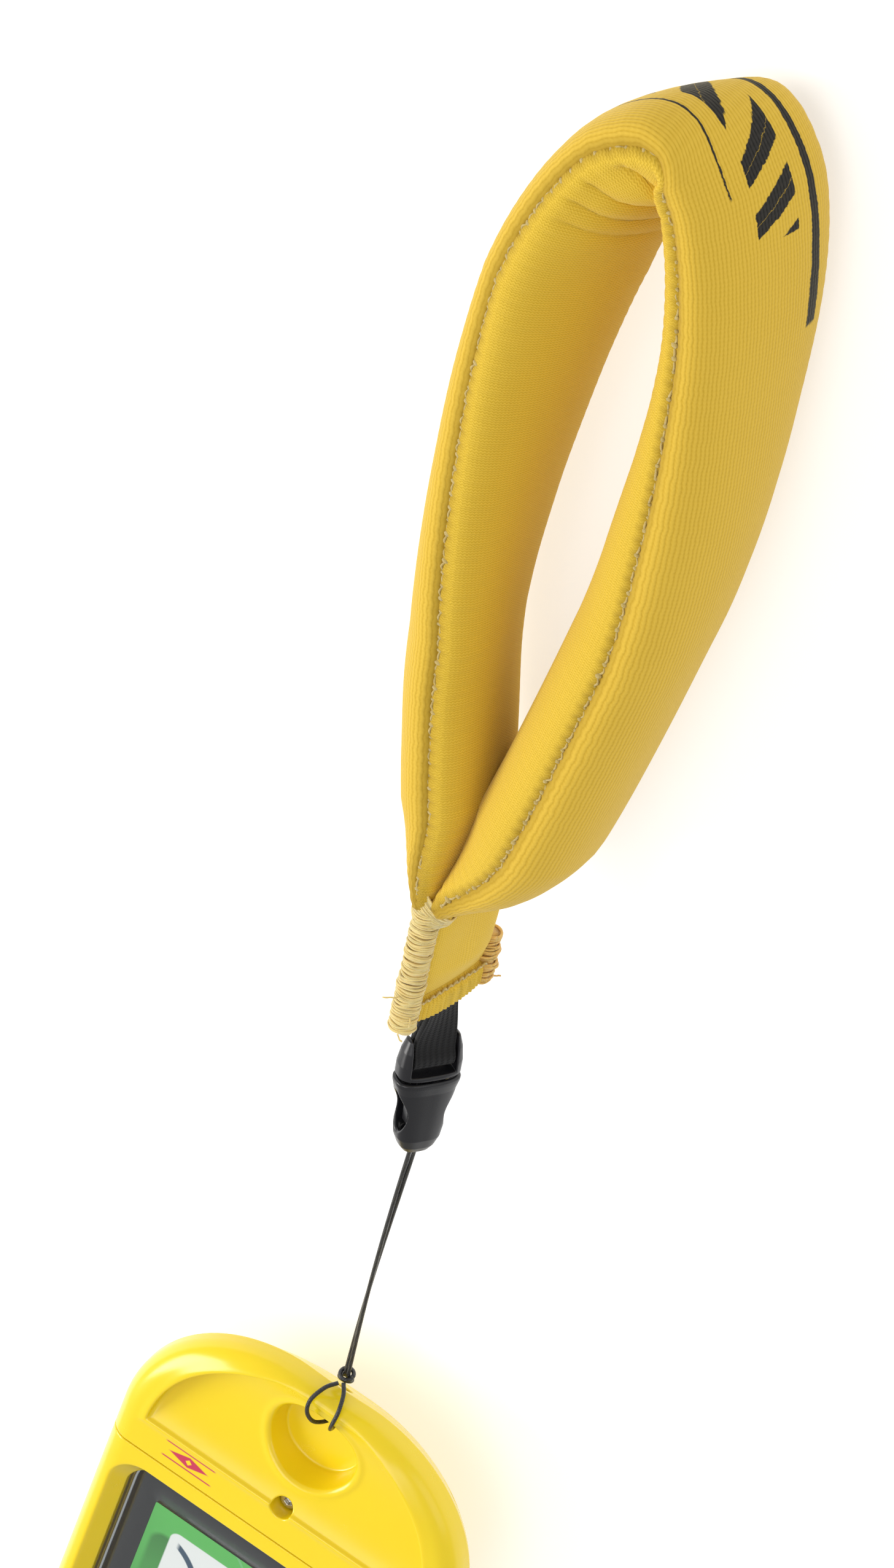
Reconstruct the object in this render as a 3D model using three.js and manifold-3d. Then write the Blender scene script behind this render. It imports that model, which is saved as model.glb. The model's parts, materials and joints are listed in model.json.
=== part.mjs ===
// Hand-held GPS unit in a hinged, sealed housing, with a lanyard cord, a quick-release clip
// and a floating wrist strap.
// Millimetres, +Z up. The origin is the centre of the housing's flat back face.
// +X is the unit's right side, +Y points from the unit to the strap, +Z points out of the screen.
import * as THREE from "three";
import { mergeVertices } from "three/addons/utils/BufferGeometryUtils.js";
import Module from "manifold-3d";

const wasm = await Module();
wasm.setup();

// ---- Driving dimensions: housing ----
const unitWidth = 76;
const unitLength = 166;
const unitHeight = 26;
const cornerRadius = 28;
const footCornerRadius = 15;
const edgeRound = 3.5;
const gap = 0.3;
const partingHeight = 19.5;
const capParting = 12;

const halfWidth = unitWidth / 2;
const topEnd = unitLength / 2;
const bottomEnd = -unitLength / 2;
const stepLine = topEnd - 38.4;
const screwPlace = topEnd - 30;
const dimplePlace = topEnd - 14.5;
const dimpleRadius = 9.8;
const lensHalfWidth = 31;
const lensDepth = 2.6;
const lensLow = topEnd - 30;
const lensHigh = topEnd - 1;
const bridgeHoleRadius = 1.7;

// ---- Driving dimensions: handset inside the housing ----
const handsetWidth = 63;
const handsetLength = 117.6;
const handsetTop = topEnd - 42.6;
const handsetBack = 8.9;
const handsetFront = 20.4;
const handsetCorner = 9;
const glassEdge = 1.2;
const handsetCentre = handsetTop - handsetLength / 2;

// ---- Driving dimensions: opening over the screen ----
const openingHalfWidth = 34;
const openingTop = topEnd - 42.7;
const openingBottom = bottomEnd + 19;
const openingCorner = 7;
const openingSlope = 2.4;
const paneThickness = 1.1;
const paneLow = 20.9;

// ---- Driving dimensions: cord, clip and strap ----
const chainHeight = 19.5;
const cordRadius = 0.4;
const cordSpread = 0.55;
const cordLength = 59.2;
const cordYaw = 4.7;
const clipYaw = 9.5;
const strapYaw = 3.1;
const clipRoll = 36;
const clipWidth = 12.4;
const clipThickness = 6.6;
const socketLength = 17.3;
const plugTop = 26.4;
const barPlace = 21.6;
const webbingWidth = 8;
const webbingEnd = 34;
const tailLength = 27;
const tailShift = -2.15;
const tailRoll = 9;
const tailWidth = 20.6;
const tailThickness = 5.4;
const loopLength = 164.2;
const bandHalfWidth = 17.3;
const bandHalfThickness = 9.9;
const panelThickness = 1.8;

const yellow = 0xf4d512;
const sewnYellow = 0xe0b92a;
const paleYellow = 0xe6d27a;
const black = 0x17181a;
const steel = 0xb8bcc0;

// ---- Solids ----
const radians = THREE.MathUtils.degToRad;
const alongX = new THREE.Matrix4().makeBasis(
  new THREE.Vector3(0, 1, 0), new THREE.Vector3(0, 0, 1), new THREE.Vector3(1, 0, 0));
const alongY = new THREE.Matrix4().makeBasis(
  new THREE.Vector3(1, 0, 0), new THREE.Vector3(0, 0, 1), new THREE.Vector3(0, -1, 0));

function toSolid(geometry) {
  const bare = geometry.clone();
  bare.deleteAttribute("normal");
  bare.deleteAttribute("uv");
  const merged = mergeVertices(bare, 1e-4);
  return new wasm.Manifold(new wasm.Mesh({
    numProp: 3,
    vertProperties: new Float32Array(merged.attributes.position.array),
    triVerts: new Uint32Array(merged.index.array),
  }));
}

function toGeometry(body) {
  const mesh = body.getMesh();
  const geometry = new THREE.BufferGeometry();
  geometry.setAttribute("position", new THREE.BufferAttribute(mesh.vertProperties, 3));
  geometry.setIndex(new THREE.BufferAttribute(mesh.triVerts, 1));
  geometry.computeVertexNormals();
  return geometry;
}

function join(...bodies) {
  return bodies.reduce((sum, body) => sum.add(body));
}

function box(x0, x1, y0, y1, z0, z1) {
  const geometry = new THREE.BoxGeometry(x1 - x0, y1 - y0, z1 - z0);
  geometry.translate((x0 + x1) / 2, (y0 + y1) / 2, (z0 + z1) / 2);
  return toSolid(geometry);
}

function upright(radius, z0, z1, x, y, low = radius, sides = 24) {
  const geometry = new THREE.CylinderGeometry(radius, low, z1 - z0, sides);
  geometry.rotateX(Math.PI / 2);
  geometry.translate(x, y, (z0 + z1) / 2);
  return toSolid(geometry);
}

function rodX(radius, x0, x1, y, z, sides = 16) {
  const geometry = new THREE.CylinderGeometry(radius, radius, x1 - x0, sides);
  geometry.rotateZ(-Math.PI / 2);
  geometry.translate((x0 + x1) / 2, y, z);
  return toSolid(geometry);
}

function rodY(radius, y0, y1, x, z, sides = 16) {
  const geometry = new THREE.CylinderGeometry(radius, radius, y1 - y0, sides);
  geometry.translate(x, (y0 + y1) / 2, z);
  return toSolid(geometry);
}

function prism(shape, depth, curveSegments = 4) {
  return new THREE.ExtrudeGeometry(shape, { depth, bevelEnabled: false, curveSegments });
}

function prismZ(shape, z0, z1) {
  return toSolid(prism(shape, z1 - z0).translate(0, 0, z0));
}

function prismX(shape, x0, x1) {
  return toSolid(prism(shape, x1 - x0).applyMatrix4(alongX).translate(x0, 0, 0));
}

function prismY(shape, y0, y1) {
  return toSolid(prism(shape, y1 - y0).applyMatrix4(alongY).translate(0, y1, 0));
}

function polygon(points) {
  return new THREE.Shape(points.map(([a, b]) => new THREE.Vector2(a, b)));
}

function roundedRectangle(width, length, radius, centre = 0) {
  const x = width / 2;
  const low = centre - length / 2;
  const high = centre + length / 2;
  const shape = new THREE.Shape();
  shape.moveTo(x, low + radius);
  shape.lineTo(x, high - radius);
  shape.absarc(x - radius, high - radius, radius, 0, Math.PI / 2);
  shape.lineTo(radius - x, high);
  shape.absarc(radius - x, high - radius, radius, Math.PI / 2, Math.PI);
  shape.lineTo(-x, low + radius);
  shape.absarc(radius - x, low + radius, radius, Math.PI, Math.PI * 1.5);
  shape.lineTo(x - radius, low);
  shape.absarc(x - radius, low + radius, radius, Math.PI * 1.5, Math.PI * 2);
  return shape;
}

function roundedPlate(width, length, radius, z0, z1, centre = 0) {
  return prismZ(roundedRectangle(width, length, radius, centre), z0, z1);
}

// A closed body through a row of rings with equal point counts, each ring convex.
function loft(rings) {
  const count = rings[0].length;
  const positions = rings.flat();
  const index = [];
  for (let r = 0; r + 1 < rings.length; r += 1) {
    for (let k = 0; k < count; k += 1) {
      const a = r * count + k;
      const b = r * count + (k + 1) % count;
      index.push(a, b, a + count, b, b + count, a + count);
    }
  }
  for (const [r, flip] of [[0, true], [rings.length - 1, false]]) {
    for (let k = 1; k + 1 < count; k += 1) {
      const base = r * count;
      index.push(base, base + (flip ? k + 1 : k), base + (flip ? k : k + 1));
    }
  }
  const geometry = new THREE.BufferGeometry().setFromPoints(positions);
  geometry.setIndex(index);
  const body = toSolid(geometry);
  return body.volume() > 0 ? body : toSolid(geometry.setIndex(index.reverse()));
}

function tube(points, radius, steps, sides = 8) {
  const circle = new THREE.Shape().absarc(0, 0, radius, 0, Math.PI * 2);
  const path = new THREE.CatmullRomCurve3(points.map((p) => new THREE.Vector3(...p)), false, "centripetal");
  return new THREE.ExtrudeGeometry(circle, { steps, extrudePath: path, curveSegments: sides });
}

// ---- Node placing ----
const group = new THREE.Group();

function node(name, body, color, roughness, metalness = 0, parent = group) {
  const geometry = body.isBufferGeometry ? body : toGeometry(body);
  const mesh = new THREE.Mesh(geometry, new THREE.MeshStandardMaterial({ color, roughness, metalness }));
  mesh.name = name;
  parent.add(mesh);
  return mesh;
}

// ---- Housing ----
// The unit's outline, less round at the hinge end than at the lanyard end, so that the seal fits round
// the handset.
function unitPlan(inset) {
  const x = halfWidth - inset;
  const low = bottomEnd + inset;
  const high = topEnd - inset;
  const foot = footCornerRadius - inset;
  const top = cornerRadius - inset;
  const shape = new THREE.Shape();
  shape.moveTo(x, low + foot);
  shape.lineTo(x, high - top);
  shape.absarc(x - top, high - top, top, 0, Math.PI / 2);
  shape.lineTo(top - x, high);
  shape.absarc(top - x, high - top, top, Math.PI / 2, Math.PI);
  shape.lineTo(-x, low + foot);
  shape.absarc(foot - x, low + foot, foot, Math.PI, Math.PI * 1.5);
  shape.lineTo(x - foot, low);
  shape.absarc(x - foot, low + foot, foot, Math.PI * 1.5, Math.PI * 2);
  return shape;
}

// The outer form: a rounded plan with a rounded rim, drawn in like a hull towards a smaller back face.
function housingForm() {
  const block = new THREE.ExtrudeGeometry(unitPlan(edgeRound), {
    depth: unitHeight - 2 * edgeRound,
    bevelThickness: edgeRound,
    bevelSize: edgeRound,
    bevelSegments: 4,
    curveSegments: 4,
  });
  const side = new THREE.Shape();
  side.moveTo(bottomEnd + 10, 0);
  side.lineTo(topEnd - 22, 0);
  side.quadraticCurveTo(topEnd - 8, 9, topEnd - 0.8, 17);
  side.lineTo(topEnd, partingHeight);
  side.lineTo(topEnd, unitHeight);
  side.lineTo(bottomEnd, unitHeight);
  side.lineTo(bottomEnd, 14);
  side.quadraticCurveTo(bottomEnd, 0, bottomEnd + 10, 0);
  const end = new THREE.Shape();
  end.moveTo(-27, 0);
  end.lineTo(27, 0);
  end.quadraticCurveTo(31.5, 1, 34, 8);
  end.quadraticCurveTo(36.8, 14, halfWidth, partingHeight);
  end.lineTo(halfWidth, unitHeight);
  end.lineTo(-halfWidth, unitHeight);
  end.lineTo(-halfWidth, partingHeight);
  end.quadraticCurveTo(-36.8, 14, -34, 8);
  end.quadraticCurveTo(-31.5, 1, -27, 0);
  return toSolid(block.translate(0, 0, edgeRound))
    .intersect(prismX(side, -halfWidth, halfWidth))
    .intersect(prismY(end, bottomEnd, topEnd));
}

const form = housingForm();
const sealWidth = 70.4;
const sealLength = handsetLength + 5.2;
const sealLine = 1.4;
const hingeY = bottomEnd - 1.5;
const hingeZ = partingHeight + gap / 2;
const knuckleRadius = 3;
const knuckleInner = 11.6;
const knuckleOuter = 22;
const pinRadius = 1.2;
const latchY = -20;
const latchHalf = 11;
const latchPivot = [31.2, 5.6];
const latchSweep = 3.1;
const buttonHeight = 14;
const stemRadius = 1.6;
const homePlace = bottomEnd + 10.5;
const homeRadius = 5;
const sideButtons = [
  { name: "power_button", side: 1, y: 15 },
  { name: "volume_up_button", side: -1, y: 24 },
  { name: "volume_down_button", side: -1, y: 9 },
];
const cameraPlace = [-17, 28];

function sealRing(extra, z0, z1) {
  const grow = sealLine + extra;
  const outer = roundedPlate(sealWidth + grow, sealLength + grow, 12, z0, z1, handsetCentre);
  const inner = roundedPlate(sealWidth - grow, sealLength - grow, 11, z0 - 1, z1 + 1, handsetCentre);
  return outer.subtract(inner);
}

function latchPocket(side) {
  const edge = [[31.2, 3.2], [45, 3.2], [45, 19.9], [36.3, 19.9], [36.3, 18.8], [33.5, 7.7], [31.2, 7.7]];
  const shape = polygon(side > 0 ? edge : edge.map(([x, z]) => [-x, z]).reverse());
  const [low, high] = [latchY - latchHalf - gap, latchY + latchHalf + gap];
  const barrel = rodY(2.5, low, high, side * latchPivot[0], latchPivot[1]);
  const sweep = rodY(latchSweep, low, high, side * latchPivot[0], latchPivot[1])
    .intersect(box(-halfWidth, halfWidth, low, high, 0, latchPivot[1]));
  return join(prismY(shape, low, high), barrel, sweep);
}

function rearShell() {
  let shell = form.intersect(box(-50, 50, -100, 100, -1, partingHeight));
  shell = shell.subtract(box(-50, 50, stepLine, 100, capParting, 40));
  for (const side of [-1, 1]) {
    const from = side > 0 ? knuckleInner + gap : -knuckleOuter;
    const to = side > 0 ? knuckleOuter : -knuckleInner - gap;
    shell = shell.add(rodX(knuckleRadius, from, to, hingeY, hingeZ));
    shell = shell.subtract(latchPocket(side));
    shell = shell.subtract(rodY(1, latchY - 16, latchY + 16, side * latchPivot[0], latchPivot[1]));
  }
  shell = shell.subtract(rodX(knuckleRadius + 0.4, -knuckleInner - gap, knuckleInner + gap, hingeY, hingeZ));
  shell = shell.subtract(rodX(pinRadius + gap, -30, 30, hingeY, hingeZ));
  shell = shell.subtract(roundedPlate(handsetWidth + 1.4, handsetLength + 1.4, 9.5, 8.6, 30, handsetCentre));
  shell = shell.subtract(roundedPlate(52, 96, 6, 3.5, 9, handsetCentre));
  shell = shell.subtract(sealRing(0.6, 18.3, 25));
  shell = shell.subtract(upright(1.4, 4, 20, 0, screwPlace));
  shell = shell.subtract(upright(5.5, -1, 9, ...cameraPlace));
  for (const { side, y } of sideButtons) {
    const stemHole = side > 0 ? [20, 45] : [-45, -20];
    shell = shell.subtract(rodX(stemRadius + gap, ...stemHole, y, buttonHeight));
    const seat = side > 0 ? [36.3, 45] : [-45, -36.3];
    shell = shell.subtract(box(...seat, y - 6.5, y + 6.5, buttonHeight - 3, buttonHeight + 3));
  }
  return shell;
}

// The lens is a wide shallow trough with a curved upper rim; the thumb dimple sits in its middle.
function lensCutter() {
  const rise = lensHigh - lensLow;
  const rim = new THREE.Shape();
  rim.moveTo(-lensHalfWidth, lensLow);
  rim.lineTo(lensHalfWidth, lensLow);
  rim.absellipse(0, lensLow, lensHalfWidth, rise, 0, Math.PI);
  const half = rise / 2 + 0.5;
  const radius = (half * half + lensDepth * lensDepth) / (2 * lensDepth);
  const trough = rodX(radius, -40, 40, lensLow + rise / 2, unitHeight - lensDepth + radius, 160);
  return trough.intersect(prismZ(rim, 10, 40));
}

function topCap() {
  const dimpleFloor = unitHeight - 7.8;
  let cap = form.intersect(box(-50, 50, stepLine + gap, 100, capParting + gap, 40));
  cap = cap.subtract(lensCutter());
  cap = cap.subtract(upright(dimpleRadius, dimpleFloor, 40, 0, dimplePlace, dimpleRadius - 1.3));
  cap = cap.subtract(rodY(bridgeHoleRadius, dimplePlace, topEnd + 5, 0, chainHeight + 0.6));
  cap = cap.subtract(upright(2.2, 20.7, 40, 0, screwPlace));
  cap = cap.subtract(upright(1.4, 0, 30, 0, screwPlace));
  return cap;
}

function capScrew() {
  const head = upright(1.9, 21, 23, 0, screwPlace);
  const shank = upright(1.1, 4.5, 21.5, 0, screwPlace, 1.1, 16);
  const drive = upright(0.9, 22.2, 24, 0, screwPlace, 0.9, 6);
  return head.add(shank).subtract(drive);
}

function frontFrame() {
  let frame = form.intersect(box(-50, 50, -100, stepLine - gap, partingHeight + gap, 40));
  const openingLength = openingTop - openingBottom;
  const centre = (openingTop + openingBottom) / 2;
  const outer = roundedRectangle(2 * openingHalfWidth, openingLength, openingCorner, centre);
  const inner = roundedRectangle(
    2 * (openingHalfWidth - openingSlope), openingLength - 2 * openingSlope,
    openingCorner - openingSlope, centre);
  const levels = [[inner, 15], [inner, 22.2], [outer, 25.6], [outer, 30]];
  frame = frame.subtract(loft(levels.map(([shape, z]) => ring(shape, z))));
  frame = frame.subtract(roundedPlate(66.6, openingLength - 1, 6, 15, 22, centre));
  frame = frame.subtract(roundedPlate(handsetWidth + 1.4, handsetLength + 1.4, 9.5, 15, 20.8, handsetCentre));
  frame = frame.add(rodX(knuckleRadius, -knuckleInner, knuckleInner, hingeY, hingeZ));
  for (const side of [-1, 1]) {
    const from = side > 0 ? knuckleInner : -knuckleOuter - gap;
    const to = side > 0 ? knuckleOuter + gap : -knuckleInner;
    frame = frame.subtract(rodX(knuckleRadius + 0.4, from, to, hingeY, hingeZ));
  }
  frame = frame.subtract(rodX(pinRadius + gap, -30, 30, hingeY, hingeZ));
  frame = frame.subtract(upright(homeRadius + gap, 23.4, 40, 0, homePlace));
  frame = frame.subtract(upright(2 + gap, 15, 40, 0, homePlace));
  return frame;
}

function ring(shape, z) {
  return shape.getPoints(3).slice(0, -1).map((p) => new THREE.Vector3(p.x, p.y, z));
}

function windowPane() {
  const openingLength = openingTop - openingBottom;
  return roundedPlate(66, openingLength - 1.6, 5.7, paneLow, paneLow + paneThickness - gap,
    (openingTop + openingBottom) / 2);
}

function latchLever(side) {
  const edge = [
    [31.2, 3.5], [33.8, 4.4], [35.9, 7.2], [38.8, 17], [40, 19], [40, 24], [38.4, 24],
    [38.4, 19.4], [36.9, 17.8], [33.9, 7.3], [31.2, 7.3],
  ];
  const shape = polygon(side > 0 ? edge : edge.map(([x, z]) => [-x, z]).reverse());
  const barrel = rodY(2.1, latchY - latchHalf, latchY + latchHalf, side * latchPivot[0], latchPivot[1]);
  const bore = rodY(1, latchY - 20, latchY + 20, side * latchPivot[0], latchPivot[1]);
  return join(prismY(shape, latchY - latchHalf, latchY + latchHalf), barrel).subtract(bore);
}

function sideButton(side, y) {
  const stem = side > 0 ? [32.9, 38] : [-38, -32.9];
  const head = side > 0 ? [37.3, 38.9] : [-38.9, -37.3];
  return join(
    rodX(stemRadius, ...stem, y, buttonHeight),
    box(...head, y - 5.5, y + 5.5, buttonHeight - 2, buttonHeight + 2));
}

function homeButton() {
  return join(
    upright(homeRadius, 24.9, 26.6, 0, homePlace),
    upright(2, 21.8, 25, 0, homePlace));
}

node("rear_shell", rearShell(), yellow, 0.35);
node("top_cap", topCap(), yellow, 0.3);
node("cap_screw", capScrew(), steel, 0.3, 1);
node("front_frame", frontFrame(), yellow, 0.3);
node("window_pane", windowPane(), 0xdfe6e6, 0.05);
node("seal_gasket", sealRing(0, 18.6, partingHeight), black, 0.8);
node("hinge_pin", rodX(pinRadius, -knuckleOuter, knuckleOuter, hingeY, hingeZ), steel, 0.3, 1);
node("rear_camera_window", upright(5.2, 0.5, 2, ...cameraPlace), 0xdfe6e6, 0.05);
node("home_button", homeButton(), yellow, 0.4);
for (const { name, side, y } of sideButtons) {
  node(name, sideButton(side, y), black, 0.6);
}
for (const [word, side] of [["left", -1], ["right", 1]]) {
  node(`latch_lever_${word}`, latchLever(side), black, 0.5);
  const pin = rodY(0.7, latchY - 15, latchY + 15, side * latchPivot[0], latchPivot[1], 16);
  node(`latch_pin_${word}`, pin, steel, 0.3, 1);
}
for (const [word, y] of [["upper", 17], ["lower", -56]]) {
  node(`shock_pad_${word}`, box(-6, 20, y - 8, y + 8, 3.8, 8.3), black, 0.9);
}

// ---- Handset ----
function handsetPlate(inset, z0, z1) {
  return roundedPlate(
    handsetWidth - 2 * inset, handsetLength - 2 * inset, handsetCorner - inset, z0, z1, handsetCentre);
}

const displayTop = handsetTop - 11.4;
const displayBottom = handsetTop - handsetLength + 17;
const displayHalf = 25;

function displayBlock(extra, z0, z1) {
  return box(-displayHalf - extra, displayHalf + extra, displayBottom - extra, displayTop + extra, z0, z1);
}

node("handset_back", handsetPlate(0, handsetBack, 12.7).subtract(handsetPlate(1.5, 10.1, 20))
  .subtract(upright(3.2, 5, 12, ...cameraPlace)), 0x2a2b2e, 0.5);
node("handset_band", handsetPlate(0, 13, 20.2).subtract(handsetPlate(glassEdge, 10, 25)), 0xd5d8da, 0.25, 1);
node("handset_glass", handsetPlate(glassEdge + gap, 18.9, handsetFront).subtract(displayBlock(gap, 10, 30)),
  0x0c0d0f, 0.06);
node("display_panel", displayBlock(0, 17.6, 20.3), 0x3f9a47, 0.1);
node("logic_board", box(-28, 28, -2, handsetTop - 4, 15, 16), 0x1d5a34, 0.6);
node("shield_can", box(2, 24, 4, 26, 12.2, 14.7), steel, 0.35, 1);
node("gps_antenna", box(-6, 8, 28, 36, 11.8, 14.7), 0xb9a98a, 0.6);
node("camera_module", upright(2.9, 10.4, 14.7, ...cameraPlace), black, 0.4);
node("battery", box(-25, 25, -68, -6, 10.5, 16.9), 0x303236, 0.5);
node("speaker", box(-8, 8, -75, -70.5, 10.5, 14), 0x25272a, 0.6);

// ---- Cord, from the bridge in the top cap to the clip ----
const hitchY = topEnd + 3.3;
const chain = new THREE.Group();
chain.position.set(0, hitchY, chainHeight);
chain.rotation.z = radians(cordYaw);
group.add(chain);

function hitchBight() {
  const leg = [
    [0.95, topEnd - 2.2, chainHeight + 0.6],
    [1, dimplePlace + 8.4, chainHeight + 0.8],
    [1.5, dimplePlace + 7.4, chainHeight + 4.6],
    [2.4, topEnd - 3.6, unitHeight + 0.5],
    [2.9, topEnd + 0.5, unitHeight - 0.4],
    [1.9, topEnd + 1.8, chainHeight + 3],
  ];
  const bend = [0, topEnd + 1.9, chainHeight + 1.9];
  const mirrored = leg.map(([x, y, z]) => [-x, y, z]).reverse();
  return tube([...leg, bend, ...mirrored], 0.42, 36, 3);
}

node("hitch_bight", hitchBight(), black, 0.35);
const knot = new THREE.TorusGeometry(1.65, 0.45, 6, 14).rotateX(Math.PI / 2);
node("hitch_knot", knot, black, 0.4, 0, chain);
for (const [word, side] of [["left", -1], ["right", 1]]) {
  const strand = [0, cordLength / 2, cordLength].map((y) => [side * cordSpread, y, 0]);
  node(`cord_strand_${word}`, tube(strand, cordRadius, 2, 4), black, 0.3, 0, chain);
}

// ---- Quick-release clip ----
const clip = new THREE.Group();
clip.position.set(0, cordLength, 0);
clip.rotation.set(0, radians(-clipRoll), radians(clipYaw - cordYaw), "ZYX");
chain.add(clip);

// An oval section across the clip: its width runs along Z and its thickness along X.
function ovalRing(y, width, thickness, squareness = 0.62) {
  const points = [];
  for (let k = 0; k < 20; k += 1) {
    const angle = (k / 20) * Math.PI * 2;
    const x = Math.sign(Math.cos(angle)) * Math.abs(Math.cos(angle)) ** squareness * thickness / 2;
    const z = Math.sign(Math.sin(angle)) * Math.abs(Math.sin(angle)) ** squareness * width / 2;
    points.push(new THREE.Vector3(x, y, -z));
  }
  return points;
}

function clipSocket() {
  const outer = loft([
    ovalRing(-0.2, 4.4, 3.4), ovalRing(0.8, 6.6, 4.9), ovalRing(3, 8.2, 5.6),
    ovalRing(socketLength - 3, 11.4, 6.2), ovalRing(socketLength - 1.2, clipWidth, clipThickness),
    ovalRing(socketLength, clipWidth, clipThickness),
  ]);
  const inside = loft([
    ovalRing(4.6, 6, 3.4), ovalRing(socketLength - 3, 9, 4.2), ovalRing(socketLength + 1, 10, 4.6),
  ]);
  const windowShape = new THREE.Shape().absellipse(0, 9.2, 1.5, 4.2, 0, Math.PI * 2);
  const windows = prismZ(windowShape, -10, 10);
  const flare = loft([ovalRing(-1.5, 8, 8, 1), ovalRing(2.4, 2.4, 2.4, 1), ovalRing(6, 2.4, 2.4, 1)]);
  return outer.subtract(inside).subtract(windows).subtract(flare);
}

function clipPlug() {
  const base = socketLength + gap;
  const head = loft([
    ovalRing(base, clipWidth - 0.3, clipThickness - 0.3),
    ovalRing(base + 3, clipWidth - 0.4, clipThickness - 0.6),
    ovalRing(plugTop - 1.6, clipWidth - 1.4, 4.6), ovalRing(plugTop, clipWidth - 2.6, 3.4),
  ]);
  const mouth = box(-6, 6, base + 1.2, plugTop + 4, -webbingWidth / 2 - 0.4, webbingWidth / 2 + 0.4);
  const bar = toSolid(new THREE.CylinderGeometry(1, 1, webbingWidth + 2, 20).rotateX(Math.PI / 2)
    .translate(0, barPlace, 0));
  const stem = box(-1.4, 1.4, 7.5, base + 0.6, -1, 1);
  const prongs = [-1, 1].map((side) => {
    const shape = polygon([[1.8, 6.4], [2.5, 6.4], [3.6, base + 0.6], [2.5, base + 0.6]]
      .map(([z, y]) => [side * z, y]));
    const blade = prism(side > 0 ? shape : polygon(shape.getPoints().map((p) => [p.x, p.y]).reverse()), 2);
    return toSolid(blade.rotateY(-Math.PI / 2).translate(1, 0, 0));
  });
  return join(head.subtract(mouth), bar, stem, ...prongs);
}

// Two plies of webbing that wrap the plug's bar, seen edge-on in the X-Y plane.
function webbingStrip() {
  const ply = 1.25;
  const wrap = 2.45;
  const outline = new THREE.Shape();
  outline.moveTo(ply, webbingEnd);
  outline.lineTo(-ply, webbingEnd);
  outline.lineTo(-ply, barPlace + 3.2);
  outline.lineTo(-wrap, barPlace);
  outline.absarc(0, barPlace, wrap, Math.PI, Math.PI * 2);
  outline.lineTo(ply, barPlace + 3.2);
  const eye = new THREE.Path().absarc(0, barPlace, 1.3, 0, Math.PI * 2, true);
  outline.holes.push(eye);
  return toSolid(prism(outline, webbingWidth).translate(0, 0, -webbingWidth / 2));
}

node("clip_socket", clipSocket(), black, 0.4, 0, clip);
node("clip_plug", clipPlug(), black, 0.4, 0, clip);
node("webbing", webbingStrip(), 0x101012, 0.9, 0, clip);

// ---- Floating wrist strap ----
const strap = new THREE.Group();
const pivot = new THREE.Vector3(0, webbingEnd, 0)
  .applyAxisAngle(new THREE.Vector3(0, 0, 1), radians(clipYaw - cordYaw));
strap.position.copy(pivot).add(clip.position);
strap.rotation.z = radians(strapYaw - cordYaw);
chain.add(strap);

// The loop's two limbs: distance from the loop's axis, distance from the pinch.
const leftLimb = [
  [1.4, 0], [2.6, 5], [4.3, 12], [6.6, 21], [9.2, 32], [12.2, 46], [15, 62], [17, 78], [18, 93],
  [18, 109], [17.2, 125], [15.6, 138], [12, 151.6], [7.8, 160],
];
const rightLimb = [
  [1.6, 0], [4, 5], [7.1, 12], [9.5, 21], [11.3, 32], [13.1, 46], [15.3, 62], [17, 78], [17.7, 93],
  [17.5, 109], [16.4, 125], [14.9, 138], [11.6, 151.6], [7.6, 160],
];
const loopPath = new THREE.CatmullRomCurve3(
  [...rightLimb, [0, loopLength], ...leftLimb.map(([x, s]) => [-x, s]).reverse()]
    .map(([x, s]) => new THREE.Vector3(x + tailShift, tailLength + s, 0)), false, "centripetal");

function bandThickness(place) {
  const side = Math.abs(place.x - tailShift);
  const s = place.y - tailLength;
  const nearBend = THREE.MathUtils.smoothstep(s, 136, loopLength);
  const full = bandHalfThickness - 2.2 * nearBend;
  return s > 56 ? full : Math.min(full, side - 0.25);
}

function bandWidth(place) {
  const s = place.y - tailLength;
  return THREE.MathUtils.lerp(tailWidth / 2 + 2.4, bandHalfWidth, THREE.MathUtils.smoothstep(s, -4, 34));
}

// The section rolls with the tail at the foot and again towards the bend: its upper edge leans left.
function bandRoll(place) {
  const s = place.y - tailLength;
  const atFoot = tailRoll * (1 - THREE.MathUtils.smoothstep(s, 0, 40));
  return radians(atFoot + THREE.MathUtils.clamp(0.19 * (s - 58), 0, 20));
}

// The section's two axes at a place on the loop: away from the loop, and towards its upper edge.
function bandAxes(place, tangent) {
  const up = new THREE.Vector3(-Math.tan(bandRoll(place)), 0, 1);
  up.addScaledVector(tangent, -up.dot(tangent)).normalize();
  return { up, outward: new THREE.Vector3().crossVectors(tangent, up) };
}

// Rings of the band between two places on its path. angles run over the section from its outer face.
function bandRings(from, to, count, inset, angles, shift = 0) {
  const rings = [];
  for (let k = 0; k <= count; k += 1) {
    const t = THREE.MathUtils.lerp(from, to, k / count);
    const place = loopPath.getPointAt(t);
    const { up, outward } = bandAxes(place, loopPath.getTangentAt(t));
    const thick = bandThickness(place) - inset;
    const wide = bandWidth(place) - inset;
    rings.push(angles.map((angle) => place.clone()
      .addScaledVector(outward, thick * Math.cos(angle) + shift)
      .addScaledVector(up, wide * Math.sin(angle))));
  }
  return rings;
}

function arcAngles(start, end, count, closed) {
  const last = closed ? count : count - 1;
  return Array.from({ length: count }, (_, k) => start + (end - start) * k / last);
}

const coreFrom = 0.065;
const bandSteps = 32;
const wholeOval = arcAngles(0, Math.PI * 2, 14, true);

function bandCore(inset) {
  return loft(bandRings(coreFrom, 1 - coreFrom, bandSteps, inset, wholeOval));
}

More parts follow.
